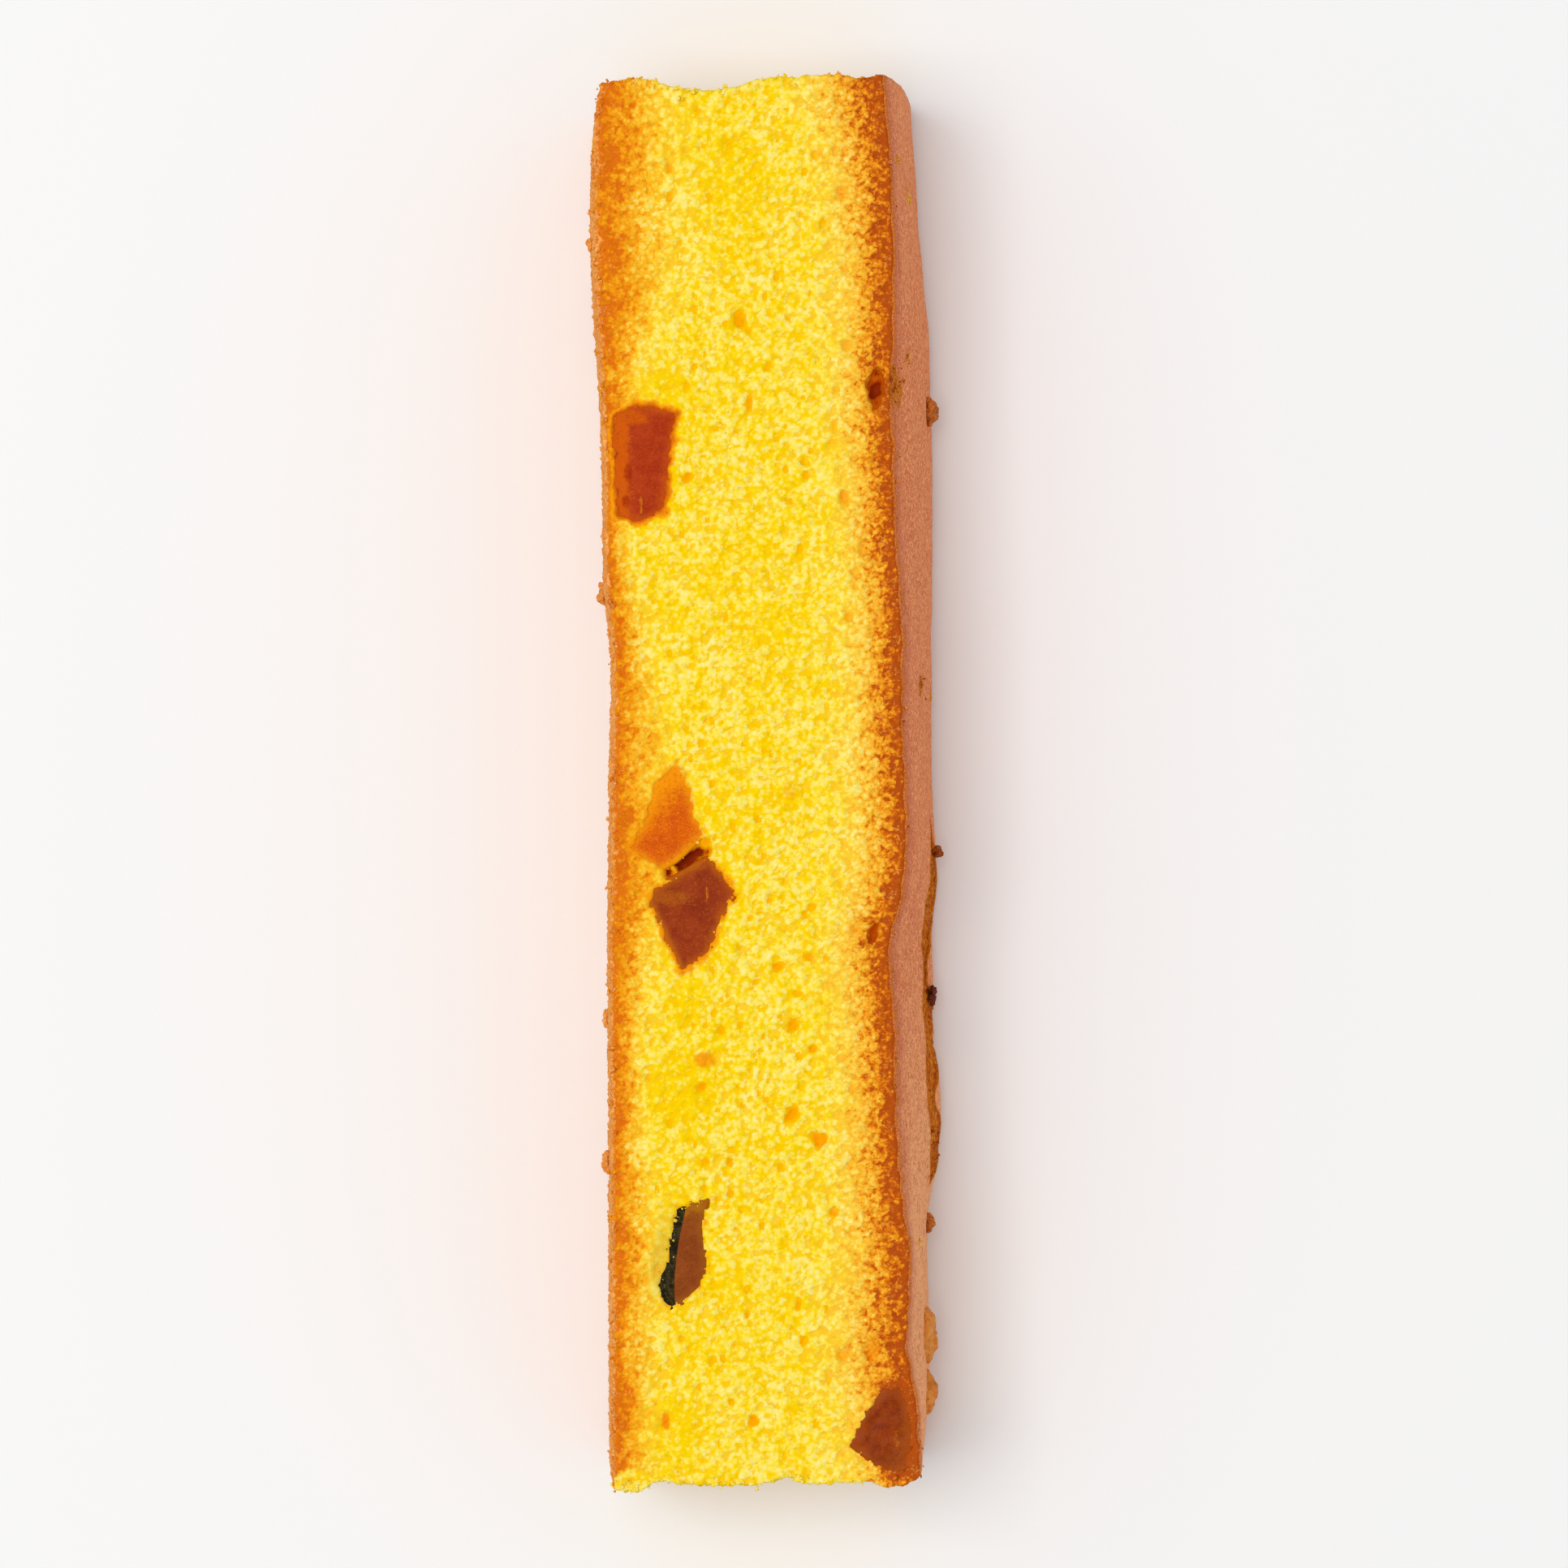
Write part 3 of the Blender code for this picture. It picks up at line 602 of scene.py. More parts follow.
def crumb_finish():
    """Yellow open crumb, browned towards both crusts, with painted shade in its hollows and pores and
    painted light on its crumbs' upper sides.
    """
    f = Finish("cake_crumb")
    tone, patch = f.speckle(3.0), f.speckle(1.9, 3.0, 0.6)
    lumps, fine = f.speckle(0.44, 2.0, 0.5), f.speckle(0.19)
    painted_lit_top, upright = f.noted("painted_lit_top"), f.noted("upright")
    # painted shade: holes on the upright faces, drawn from noise alone
    holes = f.times(upright, f.between(f.speckle(0.6, 2.0, 0.6), 0.52, 0.66))
    syrup = f.times(f.noted("syrup"), f.between(patch, 0.15, 0.6))
    # painted shade: dark lines between the grains, where the cells of two sizes meet
    shade_between_grains = f.less(f.times(f.total(f.cell(0.42), f.cell(0.75)), 0.5), 0.45)

    # pale crumb, with painted shade in its hollows and pores
    light = f.total(0.5, f.swing(lumps, 0.35), f.swing(tone, 0.5), f.swing(patch, 0.6))
    # painted light: the upper side of each crumb lump is paler
    light = f.total(light, f.swing(fine, 0.3), f.times(painted_lit_top, 0.10))
    crumb = f.ramp(f.less(light, shade_between_grains, f.times(syrup, 0.22)), (
        (0.20, "f3cb00"), (0.34, "f5d424"), (0.46, "f6dc4c"), (0.56, "f6e064"), (0.68, "f6e376"),
        (0.82, "f7e78e"),
    ))
    # painted shade: the upright sides and ends are mixed towards a warmer orange that stands for the warm
    # shade on them
    crumb = f.mix(crumb, "f6ac2c", upright, 0.4)
    ragged = f.total(f.swing(lumps, 1.4), f.swing(fine, 0.4))
    crowded = f.total(f.swing(patch, 1.1), f.swing(tone, 0.6), f.times(shade_between_grains, 0.9))
    # painted shade in the hollows that the relief dug, and in noise patches
    shade_in_hollows = f.between(f.total(f.noted("hollow_shade"), holes, ragged, crowded), 0.24, 0.62)
    crumb = f.mix(crumb, f.mix("efb600", "f5cc00", patch), shade_in_hollows, 0.8)
    # painted shade in the pores: deeper pores get darker, more saturated colours
    pore_shade = f.total(f.noted("pore"), f.times(ragged, 0.25))
    crumb = f.stained(crumb, ("f5bc00", pore_shade, 0.10, 0.22), ("f2a600", pore_shade, 0.30, 0.6))

    unrest = f.total(f.swing(patch, 2.4), f.swing(lumps, 2.6), f.swing(fine, 2.2))
    # painted shade: the hollows and the lines between grains also read as more browned
    unrest = f.less(unrest, f.times(shade_in_hollows, 0.9), f.times(shade_between_grains, 3.0))

    # behind the top crust: browning by the distance in from its skin, up to eight millimetres
    # painted light: the upper sides of crumbs read as further from the crust, so less browned
    depth = f.total(f.noted("from_crust"), f.times(unrest, 1.3), f.times(painted_lit_top, 0.3))
    toasted = f.ramp(f.maths("DIVIDE", depth, 8.0), (
        (0.0, "b04c12"), (0.05, "bc5610"), (0.11, "cf6a10"), (0.19, "e38a16"), (0.30, "f0aa26"),
        (0.48, "f5be3c"), (1.0, "f5ca50"),
    ))
    crumb = f.stained(crumb, (toasted, depth, 6.9, 2.0))

    # behind the bottom crust, up to five millimetres
    # painted light: the upper sides of crumbs are less browned here too
    depth_base = f.total(f.noted("from_base"), unrest, f.swing(tone, 4.2), f.times(painted_lit_top, 0.25))
    baked = f.ramp(f.maths("DIVIDE", depth_base, 5.0), (
        (0.0, "d86c0e"), (0.12, "e07c0c"), (0.26, "ec9610"), (0.45, "f2ac1c"), (0.70, "f4be2c"),
        (1.0, "f5c83c"),
    ))
    crumb = f.stained(crumb, (baked, depth_base, 5.6, 1.6))
    # painted shade: hollows on the upright faces are darker orange
    crumb = f.mix(crumb, "dc8c10", shade_in_hollows, upright, 0.5)

    # dark toasted grains in both, and pale grains that are partly toasted crumb and partly painted glints
    grain_size = f.total(f.swing(f.speckle(0.34, 2.0, 0.7), 1.0), f.swing(patch, 0.4))
    browned = f.maths("MAXIMUM", f.between(depth, 6.5, 1.5), f.between(depth_base, 4.0, 0.5))
    ochre = f.stained("d88a12", ("b85406", depth, 4.5, 2.0))
    crumb = f.stained(
        crumb, (ochre, grain_size, 0.02, 0.22, browned, 0.55),
        ("f6b850", grain_size, -0.08, -0.24, browned, 0.42),
    )

    # the bottom crust's own skin, pinkish tan between scorched grains
    pink = f.stained(
        "f4aa56", ("e68c3a", lumps, 0.40, 0.60), ("cc6a2a", patch, 0.46, 0.64, 0.55),
        ("fac066", fine, 0.52, 0.70),
    )
    base_line = f.total(f.noted("from_base"), f.times(unrest, 0.25))
    crumb = f.stained(crumb, (pink, base_line, 0.25, -0.25))

    # painted shade in pores and cavities, darker the deeper they are and partly browned near the crusts;
    # then pumpkin stains, and the green that the rind has left
    crumb = f.stained(
        crumb, ("c05a06", pore_shade, 0.2, 0.7, f.between(depth, 4.0, 1.0)),
        ("d8780c", pore_shade, 0.2, 0.7, f.between(depth_base, 3.0, 0.5)), ("cc6206", pore_shade, 0.95, 1.25),
        ("962e08", pore_shade, 1.2, 1.7),
    )
    stain = f.total(f.noted("stain"), f.times(ragged, 0.45))
    crumb = f.stained(
        crumb, ("f0960a", stain, 0.10, 0.70), ("d8740a", stain, 0.70, 1.1), ("b44c0e", stain, 1.1, 1.6),
    )
    crumb = f.mix(crumb, "d4b040", f.noted("greened"))

    grit = f.less(f.mix(lumps, fine, 0.5), f.times(shade_in_hollows, 0.35))
    grit = f.times(grit, f.total(f.times(upright, 5.0), 1.0))
    return f.surface(crumb, 0.7, 0.02, Normal=f.relief(grit, 0.04, 0.35))


def skin_finish():
    """The top crust: matt pinkish tan, with fine lengthwise streaks and ochre specks."""
    f = Finish("top_crust_skin")
    dust, grains = f.speckle(0.16, 2.0, 0.6), f.speckle(0.42, 2.0, 0.6)
    soft, patch = f.speckle(5.0), f.speckle(1.1, 3.0, 0.6)
    streak = f.speckle(0.7, 3.0, 0.6, stretch=(1.0, 0.5, 1.0))
    skin = f.stained("e87e4e", ("ee8a50", soft, 0.35, 0.65))
    # painted light: the skin is mixed towards a paler tone towards the near end
    skin = f.mix(skin, "ffb67a", f.noted("painted_light_near_end"), 0.9)
    skin = f.stained(
        skin, ("d4704a", streak, 0.50, 0.72), ("f8b070", dust, 0.53, 0.64),
        ("be6438", dust, 0.47, 0.36), ("b4582e", grains, 0.53, 0.64, 0.45),
        ("fcb482", grains, 0.46, 0.36, 0.6),
    )

    # rosy near the cut face and scorched at its edge
    near_cut = f.total(f.noted("to_cut"), f.swing(patch, 5.0), f.swing(dust, 5.0))
    skin = f.stained(skin, ("c86244", near_cut, 5.0, 0.8, 0.6))
    scorched = f.stained("b45a1c", ("e08028", dust, 0.4, 0.6))
    skin = f.stained(skin, (scorched, near_cut, 1.7, 0.2, 0.9))

    # bared brown crumb in the dents and along the crack
    bared = f.stained("b4520e", ("e08a26", dust, 0.35, 0.65))
    worn = f.total(f.noted("worn"), f.swing(patch, 0.9))
    skin = f.stained(skin, (bared, worn, 0.25, 0.7))
    return f.surface(
        skin, 0.7, 0.06, Subsurface_Weight=0.06, Subsurface_Scale=0.4 * MM,
        Subsurface_Radius=(1.0, 0.5, 0.25), Normal=f.relief(dust, 0.05, 0.6),
    )


def pumpkin_finish(name, flesh, shade, tint, rim, rough=0.45, gloss=0.02):
    """Moist candied pumpkin: wet grain with painted glints, a tinted part, and an edge that syrup has
    softened.
    """
    f = Finish(name)
    fine, soft, cloud = f.speckle(0.20, 3.0, 0.7), f.speckle(1.6, 3.0), f.speckle(0.7, 4.0, 0.7)
    unrest = f.total(f.swing(cloud, 1.3), f.swing(fine, 0.7))
    # painted glints: pale specks of the rim colour on the fine grain stand for wet highlights; the dark
    # specks are grain
    body = f.stained(
        flesh, (shade, soft, 0.38, 0.62), (tint, f.total(f.noted("tint"), unrest), 0.0, 1.1),
        (rim, f.total(f.noted("depth_in"), unrest), 1.0, -0.3, 0.85),
        ("d07818", f.total(f.noted("scratch"), unrest), 0.45, 1.0), (rim, fine, 0.54, 0.68, 0.5),
        ("641604", fine, 0.46, 0.32, 0.35),
        ("941c02", f.total(f.noted("pit"), unrest), 0.55, 1.3, 0.85),
    )
    peel = f.stained("1c180a", ("3c3218", cloud, 0.42, 0.62), ("706446", fine, 0.60, 0.70))
    peeled = f.total(f.noted("peel"), f.swing(fine, 0.5))
    body = f.stained(body, (peel, peeled, 0.40, 0.60))
    return f.surface(body, rough, gloss, Normal=f.relief(fine, 0.05, 0.6))


def nugget_finish():
    """Lumps of batter baked on the crusts, golden to scorched."""
    f = Finish("baked_nuggets")
    fine, soft = f.speckle(0.25, 3.0, 0.65), f.speckle(0.9)
    burnt = f.total(f.noted("scorched"), f.swing(soft, 0.5), f.swing(fine, 1.2))
    body = f.ramp(burnt, (
        (0.0, "eca654"), (0.25, "dc8634"), (0.5, "b8642a"), (0.75, "8a4020"), (1.0, "5c2c26"),
    ))
    return f.surface(body, 0.6, 0.06, Normal=f.relief(fine, 0.12, 0.8))


# -------- the crumb

def stick_block():
    """A box in -1..1 each way, fine on top and down its sides and coarser underneath."""
    deselect()
    bpy.ops.mesh.primitive_cube_add(size=2 * MM)
    block = started("cake_crumb")
    for parts in ROW_CUTS:
        divide(block, 1, parts)
    divide(block, 0, COLUMN_CUTS)
    divide(block, 2, RING_CUTS)
    edit_chosen(block, "FACE", face_middles(block)[:, 2] < -0.999)
    bpy.ops.mesh.select_less()
    bpy.ops.mesh.unsubdivide(iterations=2)
    face_outward()
    return block


def note_browning(thing, points, on_skin, on_base, torn, end_shade_warmth):
    """How far in each point is from the two crusts, as browned; below 0 on a crust's own skin."""
    x, y, height = points.T
    melted = 3.0 * rise(inside_outline(CORNER_PIECE, x, y), -1.3, 0.3) * rise(x, 9.0, 11.5)
    for name, away, table, outside in (
        ("from_crust", crust_side(y, height) - x + torn - melted, CRUST_BROWNING, on_skin),
        ("from_base", x - base_side(y, height) + oval(x, y, PALE_LUMP), BASE_BROWNING, on_base),
    ):
        inset = np.minimum(CUT_HEIGHT - height, height)
        # painted shade: on the ends the browning is drawn towards a set tone, warmer than the pale crumb,
        # to stand for the shade on these upright faces
        away += end_shade_warmth * (np.minimum(away, END_SHADE_TONE_DEPTH) - away)
        note(thing, name, np.where(outside, -np.clip(inset, 0, 2), away / along(table, y)))


def note_patches(thing, x, y, on_top):
    """Syrup, stains and green in the crumb, round the pumpkin and in patches of their own."""
    syrup, stain = np.zeros(len(x)), np.zeros(len(x))
    seeping = 0.5 * grain(np.column_stack((x, y, x * 0)), 1.2, 81.0, 3)
    for outline in SET_PIECES:
        syrup = np.maximum(syrup, 0.6 * rise(inside_outline(outline, x, y), -1.8, 0.0))
    for outline, strength in HALOES:
        near = inside_outline(outline, x, y) + seeping
        stain = np.maximum(stain, strength * rise(near, -0.8, 0.4))
    for spot in SYRUPY:
        syrup = np.maximum(syrup, oval(x, y, spot))
    for spot in STAINS:
        stain = np.maximum(stain, oval(x, y, spot))
    beside_rind = rise(-np.abs(x - along(RIND_LINE, y) + 1.6), -1.4, -0.2)
    green = beside_rind * bump(y, RIND_MIDDLE, RIND_REACH)
    note(thing, "syrup", syrup * on_top)
    note(thing, "stain", stain * on_top)
    note(thing, "greened", 0.55 * green * on_top)


def make_cake(finish):
    """The crumb with both crusts, and notes on its surface for the finish and the crumbs."""
    cake = stick_block()
    u, v, w = np.clip(corners(cake), -1, 1).T
    height = CUT_HEIGHT * (1 - ((1 - w) / 2) ** RING_CROWDING)
    nominal = v * HALF_LENGTH
    left, right = base_side(nominal, height), crust_side(nominal, height) - SKIN * 0.5
    x = left + (right - left) * (u + 1) / 2
    y = place_along(x, v)
    plain = np.column_stack((x, y, height))
    move_to(cake, plain)
    out = directions(cake)

    on_top, underneath = w > 0.9999, w < -0.9999
    on_skin = (u > 0.9999) & ~on_top & ~underneath
    on_base = (u < -0.9999) & ~on_top & ~underneath
    low, high = crack_edges(y)
    in_crack = on_skin * rise(np.minimum(height - low, high - height), -0.3, 0.5)
    gouged = on_skin * rise(dents(y, height), 0.1, 0.3)
    bare_side = np.maximum(in_crack, gouged)

    # the torn and cut crumb
    loose = np.where(u > 0.9999, bare_side, 1.0) * np.where(u > 0.97, 0.6, 1.0)
    loose[on_base] = 0.8
    at_end = (np.abs(v) > 0.9999) & ~on_top
    loose[at_end] *= 0.5
    weigh(cake, "crumb", loose)
    weigh(cake, "ends", (np.abs(v) > 0.9999).astype(float))
    roughen(cake, 5.0, 0.2, "crumb")
    roughen(cake, 0.45, 0.09, "crumb", noise_depth=1)
    roughen(cake, 0.9, 0.55, "ends", noise_depth=3)
    before = corners(cake)
    roughen(cake, 0.6, -HOLLOWS, "crumb", middle=0.0, contrast=5.0, intensity=0.46)
    roughen(cake, 0.34, -HOLLOWS * 0.6, "crumb", middle=0.0, contrast=5.0, intensity=0.44)
    points = corners(cake)
    shade_in_hollows = ((before - points) * out).sum(axis=1) / HOLLOWS

    # pores and cavities in the upper face, pockets for the pumpkin, the crack in the side
    draw = random.Random(17)
    dug = np.zeros(len(points))
    for hole in HOLES:
        dug = np.maximum(dug, hole_depth(plain, *hole))
    for _ in range(SMALL_PORES):
        size = draw.uniform(0.2, 0.42)
        pore = (draw.uniform(-12, 11), draw.uniform(-63, 63), size, size * draw.uniform(0.9, 1.9),
                draw.uniform(0.15, 0.35), draw.uniform(-25, 25))
        dug = np.maximum(dug, hole_depth(plain, *pore))
    pocket = np.zeros(len(points))
    overlap = 0.16 - 0.34 * grain(plain, 0.9, 41.0, 2)
    for outline in SET_PIECES:
        under = rise(inside_outline(outline, x, y) - overlap, 0.0, 0.3)
        pocket = np.maximum(pocket, POCKET_DEPTH * under)
    dug, pocket = dug * on_top, pocket * on_top
    undercut = CRACK_UNDERCUT * rise(height, high - 2.6, high - 0.3)
    torn = in_crack * (CRACK_DEPTH + undercut) * (1 + 0.4 * grain(plain, 1.2, 15.0))
    points -= out * (np.maximum(dug, pocket) + torn + 0.35 * gouged)[:, None]
    points[:, 2] = np.maximum(points[:, 2], 0)
    move_to(cake, points)

    # painted shade: how far the hollows sank the surface, for the finish to darken them there
    note(cake, "hollow_shade", np.where(on_top | on_base, shade_in_hollows, 0.0))
    note(cake, "upright", np.where(on_top, 0.0, 1.0))
    note(cake, "pore", dug)
    note(cake, "pocket", pocket + 3 * on_skin * (1 - bare_side) + 3 * underneath)
    note(cake, "torn", bare_side)
    # the last argument is the painted shade tone on the ends, fading in over the top 2.2 mm
    note_browning(cake, points, on_skin & (bare_side < 0.2), on_base, 0.6 * in_crack + 0.5 * gouged,
                  at_end * rise(CUT_HEIGHT - height, 0.0, 2.2))
    note_patches(cake, x, y, on_top)
    return finished(cake, finish, "crumb", "cake")


# -------- crumbs

def one_crumb(name):
    """A lump with eight sides: a four-sided cone, its base poked out to a second point."""
    deselect()
    bpy.ops.mesh.primitive_cone_add(vertices=4, radius1=MM, depth=MM, location=(0, 0, MM / 2))
    seed = started(name)
    bpy.ops.object.transform_apply(location=True, rotation=False, scale=False)
    edit_chosen(seed, "FACE", face_middles(seed)[:, 2] < 0.01)
    bpy.ops.mesh.poke(offset=MM)
    bpy.ops.object.mode_set(mode="OBJECT")
    return seed


def scatter(name, finish, centre, normal, radius, draw, kept):
    """Uneven lumps at the given places as one mesh, each with the notes kept for it."""
    seed = one_crumb(name)
    ball = corners(seed)
    sides = read(seed.data.polygons, "vertices", 3, np.int32)
    count = len(centre)
    stretch = np.exp(draw.normal(0, 0.22, (count, 1, 3)))
    shape = ball[None] * stretch * (1 + draw.normal(0, 0.2, (count, len(ball), 1)))
    turn = np.linalg.qr(draw.normal(size=(count, 3, 3)))[0]
    shape = np.einsum("nij,nkj->nki", turn, shape) * radius[:, None, None]
    points = (centre[:, None] + shape).reshape(-1, 3)
    points[:, 2] = np.maximum(points[:, 2], 0.02)

    mesh = bpy.data.meshes.new(name)
    triangles = sides[None] + (np.arange(count) * len(ball))[:, None, None]
    mesh.from_pydata(points * MM, [], triangles.reshape(-1, 3))
    old, seed.data = seed.data, mesh
    bpy.data.meshes.remove(old)
    alone(seed)
    bpy.ops.object.mode_set(mode="EDIT")
    face_outward()

    for note_name, values in kept.items():
        note(seed, note_name, np.repeat(values, len(ball)))
    # painted light: each crumb's vertices on its outer side are noted as lit, with a random shift per
    # crumb
    above = (shape * normal[:, None]).sum(axis=2) / radius[:, None]
    top_light = np.clip(0.5 + 0.5 * above + draw.uniform(-0.45, 0.25, count)[:, None], 0, 1)
    note(seed, "painted_lit_top", top_light.ravel())
    return finished(seed, finish, "crumb")


def strew(name, finish, cake, chosen, vertex, draw):
    """Crumbs in short chains over some of the cake's faces."""
    chains = len(chosen) // CRUMB_CHAIN
    chosen = np.repeat(chosen[:chains], CRUMB_CHAIN)
    normal = read(cake.data.polygons, "normal", 3)[chosen]
    stray = np.cumsum(draw.normal(0, 0.15, (chains, CRUMB_CHAIN, 3)), axis=1).reshape(-1, 3)
    stray -= normal * (stray * normal).sum(axis=1)[:, None]
    radius = CRUMB_RADIUS * np.exp(draw.normal(0, 0.25, len(chosen)))
    sunk = draw.uniform(-0.9, -0.5, len(chosen)) * radius
    centre = face_middles(cake)[chosen] + stray + normal * sunk[:, None]
    kept = {key: noted(cake, key)[vertex[chosen]]
            for key in ("from_crust", "from_base", "syrup", "stain", "greened")}
    return scatter(name, finish, centre, normal, radius, draw, kept)


def loose_crumbs(finish):
    """Crumbs dragged over the edges of the pumpkin, and ones stuck on the crusts."""
    draw = np.random.default_rng(29)
    places, browning = [], []
    for outline, count, shade in DRAGGED:
        ends = np.array(outline, float)
        start = draw.integers(0, len(ends), count)
        at = ends[start] + (ends[(start + 1) % len(ends)] - ends[start]) * draw.random((count, 1))
        flat = np.column_stack((at, at[:, 0] * 0))
        at = at[rise(grain(flat, 1.1, 31.0), -0.15, 0.35) > draw.random(count)]
        at = at + draw.normal(0, 0.2, at.shape)
        places.append(np.column_stack((at, np.full(len(at), CUT_HEIGHT - 0.16))))
        browning.append(np.full(len(at), shade))
    for side, place, level, lengthwise, up, count, shade in STRAYS:
        y = place + lengthwise * draw.normal(0, 0.5, count)
        height = np.clip(level + up * draw.normal(0, 0.5, count), 0.3, CUT_HEIGHT - 0.2)
        x = crust_side(y, height) - dents(y, height) if side > 0 else base_side(y, height)
        places.append(np.column_stack((x + side * draw.uniform(-0.08, 0.12, count), y, height)))
        browning.append(shade + draw.normal(0, 0.6, count))
    y = draw.uniform(-HALF_LENGTH, HALF_LENGTH, RIM_CRUMBS)
    y = y[rise(grain_along(y, 2.2, 61.0, 2), -0.5, 0.5) > draw.random(RIM_CRUMBS)]
    height = CUT_HEIGHT - np.abs(draw.normal(0, 0.5, len(y)))
    x = crust_side(y, height) - dents(y, height) + draw.normal(0, 0.16, len(y)) - 0.16
    places.append(np.column_stack((x, y, height - 0.13)))
    browning.append(draw.uniform(0.2, 1.4, len(y)))
    spread = np.clip(draw.normal(0, 1, (LUMP_CRUMBS, 3)), -1.8, 1.8)
    places.append(spread * LUMP_SPREAD + LUMP_MIDDLE)
    browning.append(np.full(LUMP_CRUMBS, 6.0))
    centre = np.concatenate(places)
    radius = LOOSE_RADIUS * np.exp(draw.normal(0, 0.3, len(centre)))
    up = np.tile((0.0, 0.0, 1.0), (len(centre), 1))
    green = bump(centre[:, 1], RIND_MIDDLE, RIND_REACH) * (centre[:, 0] < along(RIND_LINE, centre[:, 1]))
    scatter("loose_crumbs", finish, centre, up, radius, draw, {
        "from_crust": np.concatenate(browning),
        "from_base": np.full(len(centre), 9.0),
        "syrup": np.full(len(centre), 0.1),
        "greened": 0.5 * green,
    })


def make_crumbs(cake, finish):
    """Crumbs over the torn and cut faces, thickest in the crack and at the edges."""
    middle = face_middles(cake)
    area = read(cake.data.polygons, "area")
    start = read(cake.data.polygons, "loop_start", kind=np.int32)
    vertex = read(cake.data.loops, "vertex_index", kind=np.int32)[start]
    rim = (noted(cake, "from_crust")[vertex] < 0.35) & (middle[:, 2] > CUT_HEIGHT - 3)
    bare = rim | (noted(cake, "pocket")[vertex] > 0.2) | (noted(cake, "pore")[vertex] > 0.2)
    clumps = rise(grain(middle, 1.0, 21.0, 2), -0.5, 0.25)
    on_top = middle[:, 2] > CUT_HEIGHT - 1.2
    to_end = np.abs(end_place(middle[:, 0], middle[:, 1]) - middle[:, 1])
    frayed = (noted(cake, "from_base")[vertex] < 0.5) | (to_end < 0.6)
    wish = area * np.where(bare, 0.0, 0.25 + clumps) * (1 + 9 * noted(cake, "torn")[vertex])
    wish *= ~on_top | frayed
    third = np.clip(np.floor((HALF_LENGTH - middle[:, 1]) * 3 / (2 * HALF_LENGTH)), 0, 2)
    zones = np.where(on_top, third, 3)
    draw = np.random.default_rng(11)
    for zone, place, count in CRUMB_ZONES:
        chance = np.where(zones == zone, wish, 0)
        chosen = draw.choice(len(middle), count, p=chance / chance.sum())
        strew("crumbs_" + place, finish, cake, chosen, vertex, draw)


# -------- the top crust's skin

def make_skin():
    """A thin shell down the +X side, torn open along a crack."""
    deselect()
    bpy.ops.mesh.primitive_grid_add(x_subdivisions=SKIN_RINGS, y_subdivisions=SKIN_ROWS, size=2 * MM)
    skin = started("top_crust_skin")
    u, v, _ = np.clip(corners(skin), -1, 1).T
    ring = np.round((u + 1) / 2 * SKIN_RINGS)
    nominal = v * HALF_LENGTH
    low, high = crack_edges(nominal)
    top = CUT_HEIGHT - 0.16 + 0.14 * grain_along(nominal, 0.8, 2.0, 2)
    below = low * ring / CRACK_RING
    above = high + (top - high) * (ring - CRACK_RING - 1) / (SKIN_RINGS - CRACK_RING - 1)
    height = np.where(ring <= CRACK_RING, below, above)
    x = crust_side(nominal, height)
    y = place_along(x, v)
    to_crack = np.minimum(np.abs(height - low), np.abs(height - high))
    gape = rise(high - low, 0.3, 2.5)
    x += 0.12 * gape * bump(high - height, 0.0, 1.6)
    pushed = dents(y, height)
    x -= pushed
    move_to(skin, np.column_stack((x, y, height)))
    worn = np.clip(pushed / 0.35, 0, 1.2) + 0.9 * gape * bump(to_crack, 0.0, 0.7)
    note(skin, "worn", worn)
    note(skin, "to_cut", CUT_HEIGHT - height)
    # painted light: how far towards the near end the skin is painted paler
    note(skin, "painted_light_near_end", rise(-y, 10.0, 45.0))

    middles = face_middles(skin)
    low, high = crack_edges(middles[:, 1])
    band = (middles[:, 2] > low) & (middles[:, 2] < high) & (high - low > 0.25)
    edit_chosen(skin, "FACE", band & (np.abs(middles[:, 1] - CRACK_MIDDLE) < CRACK_HALF - 0.15))
    bpy.ops.mesh.delete(type="FACE")
    bpy.ops.mesh.select_all(action="SELECT")
    bpy.ops.mesh.remove_doubles(threshold=0.05 * MM)
    face_outward()
    if directions(skin)[:, 0].mean() < 0:
        skin.data.flip_normals()
    roughen(skin, 5.0, 0.35)
    roughen(skin, 0.9, 0.09, noise_depth=2)
    apply_modifier(skin, "SOLIDIFY", thickness=SKIN * MM, offset=-1.0)
    points = corners(skin)
    points[:, 2] = np.maximum(points[:, 2], 0)
    move_to(skin, points)
    return finished(skin, skin_finish(), "crumb")


# -------- candied pumpkin

